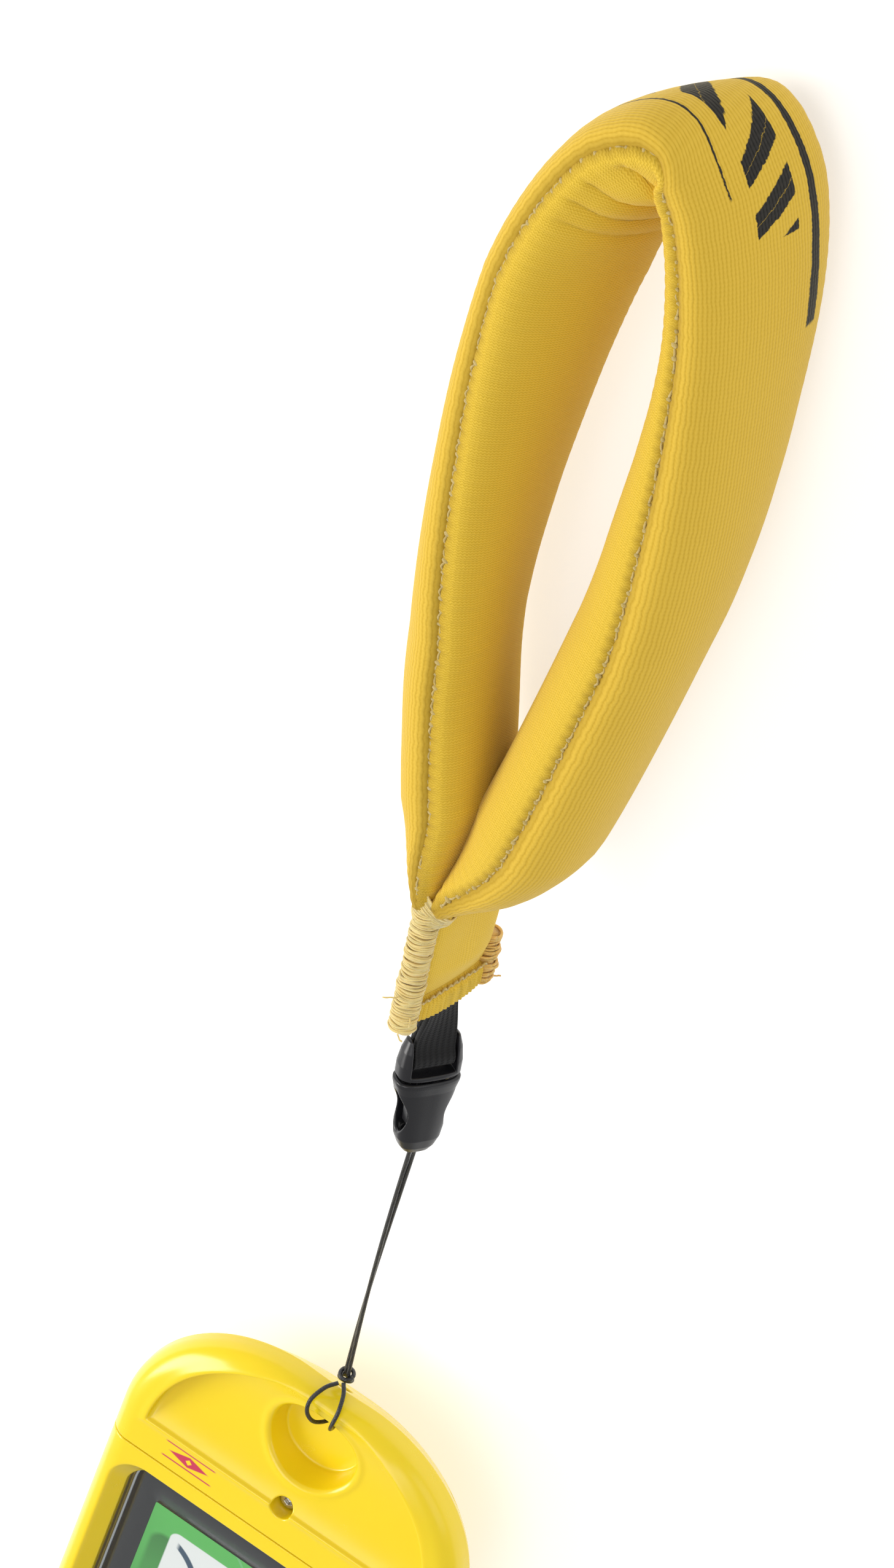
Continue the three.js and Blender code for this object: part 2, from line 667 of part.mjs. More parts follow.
function bandPanel(start) {
  const halfOval = arcAngles(start, start + Math.PI, 9, false);
  const side = Math.sign(Math.cos(start + Math.PI / 2));
  return loft(bandRings(0, 1, bandSteps, 0, halfOval, side * 0.15)).subtract(bandCore(panelThickness));
}

function bandSeam(side) {
  const points = [];
  for (let k = 0; k <= 32; k += 1) {
    const t = THREE.MathUtils.lerp(0.01, 0.99, k / 32);
    const place = loopPath.getPointAt(t);
    const { up } = bandAxes(place, loopPath.getTangentAt(t));
    points.push(place.addScaledVector(up, side * (bandWidth(place) + 0.65)).toArray());
  }
  return tube(points, 0.4, 40, 3);
}

// The tail leans from the webbing to the foot of the loop, and rolls with the loop's foot.
function tailBody(z0, z1, thickness, end = tailLength - 1.4) {
  const half = thickness / 2;
  const lean = tailShift / tailLength;
  const outline = [[-half, gap], [half, gap], [half + lean * end, end], [-half + lean * end, end]];
  return prismZ(polygon(outline), z0, z1).rotate([0, -tailRoll, 0]);
}

// The tail opens round the end of the webbing, which turns in it as the strap bends.
function strapTail() {
  const mouth = polygon([[-5.4, -1], [5.4, -1], [0.6, 4.4], [-0.6, 4.4]]);
  const reach = webbingWidth / 2 + 0.6;
  return tailBody(-tailWidth / 2, tailWidth / 2, tailThickness)
    .subtract(prismZ(mouth, -reach, reach).rotate([0, -tailRoll, 0]));
}

node("float_core", bandCore(panelThickness + gap), 0x2c2c2c, 0.95, 0, strap);
node("strap_outer_panel", bandPanel(-Math.PI / 2), yellow, 0.9, 0, strap);
node("strap_inner_panel", bandPanel(Math.PI / 2), yellow, 0.9, 0, strap);
node("edge_seam_upper", bandSeam(1), sewnYellow, 0.9, 0, strap);
node("edge_seam_lower", bandSeam(-1), sewnYellow, 0.9, 0, strap);
node("strap_tail", strapTail(), yellow, 0.9, 0, strap);
node("tail_binding_upper", tailBody(tailWidth / 2 + gap, tailWidth / 2 + 2.6, 4), paleYellow, 0.9, 0, strap);
const lowerBinding = tailBody(-tailWidth / 2 - 2.6, -tailWidth / 2 - gap, 4);
node("tail_binding_lower", lowerBinding, paleYellow, 0.9, 0, strap);

export default group;
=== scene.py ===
from functools import partialmethod
import json
import math

import bpy
import numpy as np
from mathutils import Matrix, Vector


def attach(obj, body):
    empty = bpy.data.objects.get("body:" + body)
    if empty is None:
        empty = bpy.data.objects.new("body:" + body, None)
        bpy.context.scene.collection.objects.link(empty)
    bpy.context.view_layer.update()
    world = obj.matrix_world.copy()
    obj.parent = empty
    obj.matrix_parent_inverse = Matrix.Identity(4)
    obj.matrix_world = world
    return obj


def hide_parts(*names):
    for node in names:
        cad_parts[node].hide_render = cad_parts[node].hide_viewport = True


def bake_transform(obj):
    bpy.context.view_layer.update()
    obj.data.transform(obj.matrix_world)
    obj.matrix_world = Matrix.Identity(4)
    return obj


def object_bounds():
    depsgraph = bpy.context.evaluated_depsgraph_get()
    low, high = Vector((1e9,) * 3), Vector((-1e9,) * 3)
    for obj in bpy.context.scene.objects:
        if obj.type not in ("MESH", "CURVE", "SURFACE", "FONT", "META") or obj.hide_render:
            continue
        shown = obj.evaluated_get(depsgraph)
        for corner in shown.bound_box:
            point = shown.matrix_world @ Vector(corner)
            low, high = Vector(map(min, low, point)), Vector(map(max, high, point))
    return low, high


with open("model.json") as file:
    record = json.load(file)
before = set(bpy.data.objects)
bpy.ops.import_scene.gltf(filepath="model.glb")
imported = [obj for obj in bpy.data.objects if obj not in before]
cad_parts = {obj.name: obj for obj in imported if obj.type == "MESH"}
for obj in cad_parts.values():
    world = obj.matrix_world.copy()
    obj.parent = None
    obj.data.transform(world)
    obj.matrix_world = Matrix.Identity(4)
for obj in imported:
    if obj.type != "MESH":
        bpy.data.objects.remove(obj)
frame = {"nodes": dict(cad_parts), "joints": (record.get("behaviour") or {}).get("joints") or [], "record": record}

# Shapes are worked out in millimetres in the CAD frame and scaled to metres when a mesh is made.
CAD_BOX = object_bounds()
MM = 0.001
RNG = np.random.default_rng(11)
JOINTS = {joint["name"]: np.array(joint["pos_m"]) / MM for joint in frame["joints"] if "pos_m" in joint}
BODY_OF = {node: body for body, nodes in frame["record"]["behaviour"]["bodies"].items() for node in nodes}
FULL_TURN = 2 * np.pi
UP = np.array([0.0, 0.0, 1.0])

# ---- Housing sizes ----
TOP_END = 83.0
HEIGHT = 26.0
PARTING = 19.5
SEAM = 0.14
CAP_PARTING = 12.0
STEP_LINE = 44.6
SCREW_Y = 53.0
LENS_LOW, LENS_HIGH, LENS_DEPTH = SCREW_Y, TOP_END - 1.0, 3.9
DIMPLE_Y = 68.5
HINGE_Y, HINGE_Z = JOINTS["lid_hinge"][1:]
LATCH_X, LATCH_Y, LATCH_Z = JOINTS["latch_right_swing"]
LATCH_HALF = 11.3
HANDSET_HALF = 31.5
HANDSET_LOW, HANDSET_HIGH = -77.2, 40.4
OPENING_LOW, OPENING_HIGH = -64.0, 40.3
KNUCKLE, KNUCKLE_SPACE, PIN_HOLE = 3.0, 3.4, 1.5
BUTTONS = [("power_button", 1, 15.0), ("volume_up_button", -1, 24.0), ("volume_down_button", -1, 9.0)]
HOME_Y = -72.5
CAMERA_SPOT = (-17.0, 28.0)

# ---- Cord and clip sizes ----
CLIP_ROLL = 36.0
SOCKET_LENGTH = 17.3
PLUG_TOP = 26.4
BAR_PLACE = 21.6
WEBBING_END = 34.0
WEBBING_PITCH = 1.15

# ---- Strap sizes ----
STRAP_YAW = 3.1
TAIL_LENGTH = 27.0
TAIL_SHIFT = -2.15
TAIL_HALF = 10.1
TAIL_ROLL = 9.0
HEM = 5.3
LOOP_LENGTH = 164.2
BAND_HALF_WIDTH = 15.6
BAND_FOOT_HALF_WIDTH = 12.4
BAND_HALF_THICKNESS = 7.4
BAND_SIDES = 48
STITCH_PITCH = 2.6
PRESSURE, FRAMES, SWELL_CAP = 4.0, 20, 0.9
LEFT_LIMB = [
    (1.4, 0), (2.9, 5), (5.0, 12), (7.6, 21), (10.4, 32), (13.7, 46), (16.0, 62), (17.2, 78), (17.7, 93),
    (17.7, 109), (16.9, 125), (15.2, 138), (11.7, 150.5), (7.0, 159.4)]
RIGHT_LIMB = [
    (1.6, 0), (4, 5), (7.1, 12), (9.5, 21), (11.4, 32), (13.3, 46), (15.2, 62), (16.8, 78), (17.2, 93),
    (17.0, 109), (16.0, 125), (14.3, 138), (11.0, 150.5), (6.7, 159.2)]

# Folds inside the bend: place from the middle, slant, half width and depth.
BEND_FOLDS = [
    (9.0, -0.55, 1.8, 3.4), (-3.5, 0.2, 1.5, 3.0), (15.0, 0.1, 1.6, 1.6), (19.5, 0.2, 1.4, 1.2),
    (-9.5, -0.1, 1.5, 1.4), (24.0, 0.2, 1.3, 0.8)]

# ---- Prints and colours ----
PRINT_MIDDLE = 171.0
MARK_X, MARK_Y = -20.1, 49.3
YELLOW = (0.86, 0.635, 0.008)
# Painted shade: the cloth darkens towards this colour within about 2 mm of each sewn edge, in the seam groove.
PAINTED_SEAM_SHADE = (0.36, 0.22, 0.015)

# ---- Camera ----
CAMERA_AZIMUTH, CAMERA_ELEVATION, CAMERA_ROLL = 19.44, 46.52, -132.44
CAMERA_DISTANCE = 1.2042
CAMERA_TARGET = (-0.0241, 0.2226, 0.0195)


# ---- Small helpers ----
def smoothstep(value, low, high):
    t = np.clip((value - low) / (high - low), 0.0, 1.0)
    return t * t * (3 - 2 * t)


def bell(value, width):
    return np.exp(-((value / width) ** 2))


def power(value, exponent):
    """A power that keeps the sign."""
    return np.sign(value) * np.abs(value) ** exponent


def unit(vector):
    return vector / np.maximum(np.linalg.norm(vector, axis=-1, keepdims=True), 1e-9)


def round_angles(count):
    return np.linspace(0, FULL_TURN, count, endpoint=False)


class Place:
    """A local frame in millimetres: an origin, a y axis along a level direction, and a roll about it that
    lifts x towards +Z."""

    def __init__(self, origin, along, roll=0.0):
        y = unit(np.array([along[0], along[1], 0.0]))
        side = np.array([y[1], -y[0], 0.0])
        c, s = math.cos(math.radians(roll)), math.sin(math.radians(roll))
        self.origin = origin
        self.axes = np.array([c * side + s * UP, y, c * UP - s * side])

    def to_world(self, points):
        return np.asarray(points, float) @ self.axes + self.origin


HITCH = JOINTS["cord_lift"]
CLIP_FOOT = JOINTS["clip_tilt"]
STRAP_ROOT = JOINTS["strap_bend"]
CORD_ALONG = unit(CLIP_FOOT - HITCH)
CORD_SIDE = np.array([CORD_ALONG[1], -CORD_ALONG[0], 0.0])
STRAP_ALONG = (-math.sin(math.radians(STRAP_YAW)), math.cos(math.radians(STRAP_YAW)))
CLIP = Place(CLIP_FOOT, STRAP_ROOT - CLIP_FOOT, CLIP_ROLL)
STRAP = Place(STRAP_ROOT, STRAP_ALONG)
TAIL = Place(STRAP_ROOT, STRAP_ALONG, TAIL_ROLL)


# ---- Mesh building ----
def make_object(name, points, faces, finish=None, smooth=True):
    mesh = bpy.data.meshes.new(name)
    mesh.from_pydata((np.asarray(points, float) * MM).tolist(), [], [tuple(map(int, face)) for face in faces])
    mesh.polygons.foreach_set("use_smooth", [smooth] * len(mesh.polygons))
    if finish:
        mesh.materials.append(finish.material)
    mesh.update()
    return link_object(name, mesh)


def link_object(name, data):
    obj = bpy.data.objects.new(name, data)
    bpy.context.scene.collection.objects.link(obj)
    return obj


def grid_quads(rings, sides, closed=True):
    r, k = np.meshgrid(np.arange(rings - 1), np.arange(sides if closed else sides - 1), indexing="ij")
    follow = (k + 1) % sides
    quads = np.stack([r * sides + k, r * sides + follow, (r + 1) * sides + follow, (r + 1) * sides + k], -1)
    return quads.reshape(-1, 4)


def loft(rings):
    """A closed tube through rings, an array of ring by point by 3, with flat ends."""
    rings = np.asarray(rings, float)
    count, sides = rings.shape[:2]
    points = rings.reshape(-1, 3)
    ends = [list(reversed(range(sides))), list(range((count - 1) * sides, count * sides))]
    return turn_out(points, grid_quads(count, sides).tolist() + ends)


def turn_out(points, faces):
    """The points, and the faces reversed if the closed body they make is inside out."""
    corners = [(face[0], b, c) for face in faces for b, c in zip(face[1:-1], face[2:])]
    a, b, c = points[np.array(corners)].transpose(1, 0, 2)
    if (a * np.cross(b, c)).sum() <= 0:
        faces = [list(reversed(face)) for face in faces]
    return points, faces


def join_parts(parts):
    points, faces, start = [], [], 0
    for part_points, part_faces in parts:
        points.append(part_points)
        faces.extend([[index + start for index in face] for face in part_faces])
        start += len(part_points)
    return np.concatenate(points), faces


def smooth_path(points, step):
    """A Catmull-Rom curve through points, with even spacing close to step, and the length at each point."""
    points = np.asarray(points, float)
    padded = np.vstack([2 * points[0] - points[1], points, 2 * points[-1] - points[-2]])
    pieces = []
    t = np.linspace(0, 1, 24, endpoint=False)[:, None]
    for a, b, c, d in zip(padded[:-3], padded[1:-2], padded[2:-1], padded[3:]):
        pieces.append(0.5 * (2 * b + (c - a) * t + (2 * a - 5 * b + 4 * c - d) * t ** 2
                             + (3 * b - a - 3 * c + d) * t ** 3))
    dense = np.vstack(pieces + [points[-1:]])
    length = np.concatenate([[0], np.cumsum(np.linalg.norm(np.diff(dense, axis=0), axis=1))])
    even = np.linspace(0, length[-1], max(2, int(round(length[-1] / step))) + 1)
    return np.stack([np.interp(even, length, dense[:, axis]) for axis in range(dense.shape[1])], 1), even


def sweep(path, radius, sides):
    """A round tube along path."""
    path = np.asarray(path, float)
    tangent = unit(np.gradient(path, axis=0))
    normal = np.zeros_like(path)
    seed = UP if abs(tangent[0][2]) < 0.8 else np.array([1.0, 0.0, 0.0])
    for index, direction in enumerate(tangent):
        seed = seed - np.dot(seed, direction) * direction
        seed = seed / max(np.linalg.norm(seed), 1e-9)
        normal[index] = seed
    side = np.cross(tangent, normal)
    angle = round_angles(sides)[None, :, None]
    return loft(path[:, None] + radius * (normal[:, None] * np.cos(angle) + side[:, None] * np.sin(angle)))


def surface_net(field, low, high, step, settle=3):
    """Points and quads of the surface where field is zero."""
    axes = [np.arange(a, b + step, step) for a, b in zip(low, high)]
    grid = np.stack(np.meshgrid(*axes, indexing="ij"))
    value = field(*grid)
    inside = value < 0
    shape = tuple(size - 1 for size in value.shape)
    total = np.zeros((3, *shape))
    count = np.zeros(shape)
    ends = (slice(0, -1), slice(1, None))
    for axis in range(3):
        for first in ends:
            for second in ends:
                near = [first, second]
                near.insert(axis, ends[0])
                far = list(near)
                far[axis] = ends[1]
                a, b = value[tuple(near)], value[tuple(far)]
                crossed = (a < 0) != (b < 0)
                share = np.where(crossed, a / np.where(crossed, a - b, 1.0), 0.0)
                start, end = grid[(slice(None), *near)], grid[(slice(None), *far)]
                total += np.where(crossed, start + share * (end - start), 0.0)
                count += crossed
    cells = count > 0
    number = np.full(shape, -1)
    number[cells] = np.arange(cells.sum())
    points = (total[:, cells] / count[cells]).T
    faces = []
    for axis in range(3):
        lower = [slice(1, -1)] * 3
        upper = list(lower)
        lower[axis], upper[axis] = ends
        begins = inside[tuple(lower)]
        crossed = begins != inside[tuple(upper)]
        spot = np.array(np.nonzero(crossed))
        around = []
        for across, along in ((0, 0), (1, 0), (1, 1), (0, 1)):
            shifted = spot.copy()
            shifted[(axis + 1) % 3] += across
            shifted[(axis + 2) % 3] += along
            around.append(number[tuple(shifted)])
        quads = np.stack(around, 1)
        flip = ~begins[crossed]
        quads[flip] = quads[flip][:, ::-1]
        faces.append(quads)
    for _ in range(settle):
        points = points - settle_move(field, points.T, step).T
    return points, np.concatenate(faces)


def settle_move(field, place, step):
    """The move that takes each point onto the surface, at most a third of a step long."""
    nudge = step * 0.05
    slope = np.stack([
        (field(*(place + nudge * axis[:, None])) - field(*(place - nudge * axis[:, None]))) / (2 * nudge)
        for axis in np.eye(3)])
    move = slope * field(*place) / np.maximum((slope ** 2).sum(0), 0.1)
    length = np.maximum(np.linalg.norm(move, axis=0), 1e-9)
    return move * np.minimum(1.0, step / 3 / length)


# ---- Distance fields, negative inside ----
def both(field, *others):
    """What all the shapes share, with sharp edges."""
    for other in others:
        field = np.maximum(field, other)
    return field


def round_max(a, b, radius):
    """What two shapes share, with edges rounded to radius."""
    lift_a, lift_b = a + radius, b + radius
    return np.minimum(both(lift_a, lift_b), 0) + np.hypot(both(lift_a, 0), both(lift_b, 0)) - radius


def cut(body, tool, radius=0.3):
    return round_max(body, -tool, radius)


def merge(a, b, radius=0.3):
    return -round_max(-a, -b, radius)


def rounded_rectangle(x, y, half, low, high, radius):
    across = np.abs(x) - half + radius
    along = np.abs(y - (low + high) / 2) - (high - low) / 2 + radius
    return np.hypot(both(across, 0), both(along, 0)) + np.minimum(both(across, along), 0) - radius


def slab(value, low, high):
    return both(low - value, value - high)


def disc(a, b, centre_a, centre_b, radius):
    return np.hypot(a - centre_a, b - centre_b) - radius


# ---- Materials ----
class Value:
    """A socket in a material's node tree. Arithmetic on it adds nodes."""

    def __init__(self, tree, socket):
        self.tree = tree
        self.socket = socket

    def math(self, operation, *others):
        return add_node(self.tree, "Math", dict(enumerate((self, *others))), operation=operation)

    def __rsub__(self, other):
        return add_node(self.tree, "Math", {0: other, 1: self}, operation="SUBTRACT")

    def spread(self, low, high, to_low=0.0, to_high=1.0):
        return add_node(self.tree, "MapRange", {0: self, 1: low, 2: high, 3: to_low, 4: to_high}, clamp=True)

    def step(self, edge, soft):
        return self.spread(edge - soft, edge + soft)

    def inside(self, low, high, soft):
        return self.step(low, soft) * (1.0 - self.step(high, soft))

    def mix(self, a, b):
        """a where this is 0, b where it is 1. Plain colours are red, green and blue."""
        a, b = (side if isinstance(side, Value) else colour(*side) for side in (a, b))
        return add_node(self.tree, "MixRGB", {"Fac": self, "Color1": a, "Color2": b})

    def parts(self):
        node = self.tree.nodes.new("ShaderNodeSeparateXYZ")
        connect(self.tree, self, node.inputs[0])
        return [Value(self.tree, output) for output in node.outputs]

    def noise(self, scale, detail=3.0):
        """Noise between about 0 and 1, with features about 1 / scale wide."""
        return add_node(self.tree, "TexNoise", {"Vector": self, "Scale": scale, "Detail": detail})


# fold runs up to a size and back down, again and again.
OPERATIONS = {
    "__add__": "ADD", "__sub__": "SUBTRACT", "__mul__": "MULTIPLY", "__truediv__": "DIVIDE",
    "__pow__": "POWER", "__abs__": "ABSOLUTE", "maximum": "MAXIMUM", "sine": "SINE", "root": "SQRT",
    "fold": "PINGPONG"}
for method, operation in OPERATIONS.items():
    setattr(Value, method, partialmethod(Value.math, operation))


def connect(tree, value, socket):
    if isinstance(value, Value):
        tree.links.new(value.socket, socket)
    else:
        socket.default_value = value


def add_node(tree, kind, inputs, output=0, **attributes):
    node = tree.nodes.new("ShaderNode" + kind)
    for key, value in attributes.items():
        setattr(node, key, value)
    for key, value in inputs.items():
        connect(tree, value, node.inputs[key])
    return Value(tree, node.outputs[output])


def colour(red, green, blue):
    return (red, green, blue, 1.0)


class Shader:
    """A material with one surface. Its settings go by the names of the surface's inputs."""

    def __init__(self, name, **settings):
        self.material = bpy.data.materials.new(name)
        self.material.use_nodes = True
        self.tree = self.material.node_tree
        self.set(**settings)

    def set(self, **settings):
        surface = self.tree.nodes["Principled BSDF"]
        for key, value in settings.items():
            connect(self.tree, value, surface.inputs[key.replace("_", " ").title().replace("Ior", "IOR")])

    def node(self, kind, inputs, output=0, **attributes):
        return add_node(self.tree, kind, inputs, output, **attributes)

    def place(self):
        """The point on the object in millimetres."""
        point = self.node("TexCoord", {}, "Object")
        return self.node("VectorMath", {0: point, "Scale": 1 / MM}, operation="SCALE")

    def knit_map(self):
        """The point on the flat cloth in millimetres."""
        return self.node("UVMap", {}, uv_map="knit")

    def bump(self, height, depth, strength=1.0):
        """depth is the height of the relief in millimetres."""
        self.set(normal=self.node("Bump", {"Height": height, "Distance": depth * MM, "Strength": strength}))


def moulded(name, base, roughness, grain=0.01, coat=0.0, metallic=0.0, vary=0.06, mark=False):
    """Moulded plastic, rubber or metal: an uneven sheen, a fine grain and a faint drift of colour."""
    shader = Shader(name, metallic=metallic, coat_weight=coat, coat_roughness=0.12)
    place = shader.place()
    patchy, fine = place.noise(0.12, 4), place.noise(4.0, 4)
    dark = [channel * (1 - vary) for channel in base]
    light = [min(1.0, channel * (1 + vary)) for channel in base]
    tone = patchy.mix(dark, light)
    shader.set(
        base_color=generic_mark(place).mix(tone, (0.55, 0.035, 0.09)) if mark else tone,
        roughness=(patchy + fine * 0.5).spread(0.4, 1.1, roughness * 0.85, roughness * 1.2))
    if grain:
        shader.bump(fine, grain)
    return shader


def housing_yellow(name, mark=False):
    shader = moulded(name, YELLOW, 0.24, 0.006, 0.25, vary=0.015, mark=mark)
    shader.set(coat_roughness=0.2, subsurface_weight=0.12, subsurface_radius=(0.9, 0.5, 0.05),
               subsurface_scale=1.2 * MM)
    return shader


def generic_mark(place):
    """A plain compass needle between two rules, printed left of centre above the step line."""
    x, y, _ = place.parts()
    reach, width = abs(x - MARK_X), abs(y - MARK_Y)
    needle = (1.35 - (width + reach * 0.3)).step(0.0, 0.12)
    hub = 1.0 - (reach + width).step(0.7, 0.1)
    rule = width.inside(1.8, 2.15, 0.1) * reach.inside(-1.0, 5.6, 0.3)
    return (needle - hub).maximum(rule)


def knit(name, wale, course, low, high, ridge, printed=False):
    """Jersey knit: wales run along v and loops repeat along them, both in millimetres of the knit map."""
    shader = Shader(name, roughness=0.85, sheen_weight=0.22, sheen_roughness=0.4,
                    sheen_tint=colour(1.0, 0.9, 0.6), specular_ior_level=0.2)
    flat = shader.knit_map()
    waver = flat.noise(0.35, 2)
    u, v, _ = flat.parts()
    u = u + waver * 0.5
    v = v + waver * 0.35
    swing = (u / wale).fold(0.5)
    rib = (swing * math.pi).sine()
    row = v / course + swing * 0.9
    loop = (row * (2 * math.pi)).sine().spread(-1.0, 1.0)
    height = rib * ridge + loop * (1 - ridge) + flat.noise(5.0, 3) * 0.35
    # Partly painted shade: the colour follows the knit's relief, darker in the grooves between the loops and
    # lighter on them, plus a random drift of tone. The print darkens in the grooves the same way.
    tone = (height + flat.noise(0.06, 3) * 0.25).spread(0.15, 1.15)
    base = tone.mix(low, high)
    if printed:
        base = band_print(flat, u, v).mix(base, tone.mix((0.003, 0.003, 0.003), (0.03, 0.028, 0.025)))
    edge = shader.node("Attribute", {}, "Fac", attribute_name="edge")
    # Painted shade: the cloth darkens towards the seam colour close to each sewn edge, in the groove.
    shader.set(base_color=edge.spread(0.2, 1.9).mix(PAINTED_SEAM_SHADE, base))
    shader.bump(height, 0.1, 0.7)
    return shader


def band_print(flat, u, v):
    """A row of slanted bars between two tapering rules, printed round the outside of the bend."""
    ragged = (flat.noise(1.6, 2) - 0.5) * 0.5
    u = u + ragged
    v = v + ragged
    along = v - PRINT_MIDDLE
    bar = (along + u * 0.45 + 400.0).fold(3.6).inside(0.0, 1.9, 0.08)
    bars = bar * (abs(u).inside(-1.0, 4.4, 0.08) * abs(along).inside(-1.0, 16.2, 0.08))
    near = (along.spread(-36.0, 30.0, 1.5, 0.15) - abs(u + 8.6)).step(0.0, 0.08)
    far = (along.spread(-10.0, 40.0, 0.15, 0.5) - abs(u - 8.2)).step(0.0, 0.08)
    rules = (near * along.inside(-34.0, 30.0, 0.3)).maximum(far * along.inside(-8.0, 38.0, 0.3))
    return bars.maximum(rules)


def thread(name, dark, light):
    """Spun thread: fine slanting strands, a soft sheen and a little light passing through."""
    shader = Shader(name, roughness=0.7, sheen_weight=0.4, subsurface_weight=0.3,
                    subsurface_radius=(1.0, 0.8, 0.4), subsurface_scale=0.5 * MM)
    place = shader.place()
    shader.set(base_color=place.noise(0.7, 3).mix(dark, light))
    shader.bump(place.noise(6.0, 3), 0.12)
    return shader


def woven(name, pitch, dark, light):
    """Ribbed webbing seen in its own map, ribs along v."""
    shader = Shader(name, roughness=0.7, sheen_weight=0.05, specular_ior_level=0.25)
    u, v, _ = shader.knit_map().parts()
    rib = (u / pitch).fold(0.5)
    height = rib + (v / (pitch * 0.5) + rib).fold(0.5) * 0.6
    # Painted shade: the webbing is darker in the low parts between its ribs and picks, and lighter on their tops.
    shader.set(base_color=height.mix(dark, light))
    shader.bump(height, 0.25)
    return shader


def braid(name):
    """Fine braided cord with a waxy shine."""
    shader = Shader(name, roughness=0.32, coat_weight=0.3)
    place = shader.place()
    x, y, z = place.parts()
    weave = ((y + (x + z)) * 9.0).sine() * ((y - (x + z)) * 9.0).sine()
    shader.set(base_color=place.noise(1.0).mix((0.008, 0.008, 0.009), (0.02, 0.019, 0.019)))
    shader.bump(weave, 0.05)
    return shader


def clear_glass(name, tint, shine):
    """A thin clear sheet: mostly see-through, with a reflection that grows at a glancing angle."""
    shader = Shader(name)
    through = shader.node("BsdfTransparent", {"Color": colour(*tint)})
    haze = shader.place().noise(0.2).spread(0.3, 0.7, 0.02, 0.05)
    gloss = shader.node("BsdfGlossy", {"Color": colour(1, 1, 1), "Roughness": haze})
    outside = 1.0 - shader.node("NewGeometry", {}, "Backfacing")
    angle = shader.node("Fresnel", {"IOR": 1.45}) * outside
    sheet = shader.node("MixShader", {0: angle * shine, 1: through, 2: gloss})
    connect(shader.tree, sheet, shader.tree.nodes["Material Output"].inputs["Surface"])
    return shader


def screen(name):
    """A lit map page: a darker patch on green, a white card with rounded corners, one plain pointer stroke,
    contour lines and a trail."""
    shader = Shader(name, roughness=0.08, coat_weight=1.0, coat_roughness=0.02, emission_strength=0.35)
    place = shader.place()
    x, y, _ = place.parts()

    def card(centre_x, centre_y, half_x, half_y, radius, soft):
        across = (abs(x - centre_x) - (half_x - radius)).maximum(0.0)
        along = (abs(y - centre_y) - (half_y - radius)).maximum(0.0)
        return 1.0 - (across * across + along * along).root().step(radius, soft)

    base = y.spread(-58.0, 28.0).mix((0.02, 0.16, 0.035), (0.075, 0.36, 0.07))
    patch = card(-1.0, -16.0, 22.5, 38.5, 3.0, 0.5) * y.spread(-2.0, 24.0)
    bow = ((x + 22.5) ** 2.0 + (y - 11.5) ** 2.0).root()
    ring = bow.inside(24.0, 24.5, 0.1)
    stroke = bow.inside(10.9, 12.3, 0.12) * x.inside(-17.6, -12.5, 0.4)
    inland = card(2.0, -24.0, 19.5, 30.0, 2.0, 0.12)
    contour = 1.0 - (place.noise(0.035, 1) * 14.0).fold(0.5).step(0.05, 0.02)
    trail = (x - (y * 0.11).sine() * 6.0).inside(1.4, 2.5, 0.15)
    for share, ink in ((patch * 0.85, (0.018, 0.11, 0.02)),
                       (card(2.0, -15.5, 21.8, 40.5, 2.0, 0.12), (0.62, 0.63, 0.62)),
                       (ring * 0.4, (0.2, 0.4, 0.25)), (stroke, (0.02, 0.05, 0.09)),
                       (inland * contour, (0.30, 0.42, 0.26)), (inland * trail, (0.55, 0.12, 0.02))):
        base = share.mix(base, ink)
    shader.set(base_color=base, emission_color=base)
    return shader


def floor_finish():
    """A pale diffusing sheet lit a little from below."""
    shader = Shader("pale_floor", roughness=0.6, emission_color=colour(1.0, 1.0, 1.0), emission_strength=0.55)
    shader.set(base_color=shader.place().noise(0.01, 3).mix((0.6, 0.6, 0.6), (0.64, 0.64, 0.64)))
    return shader


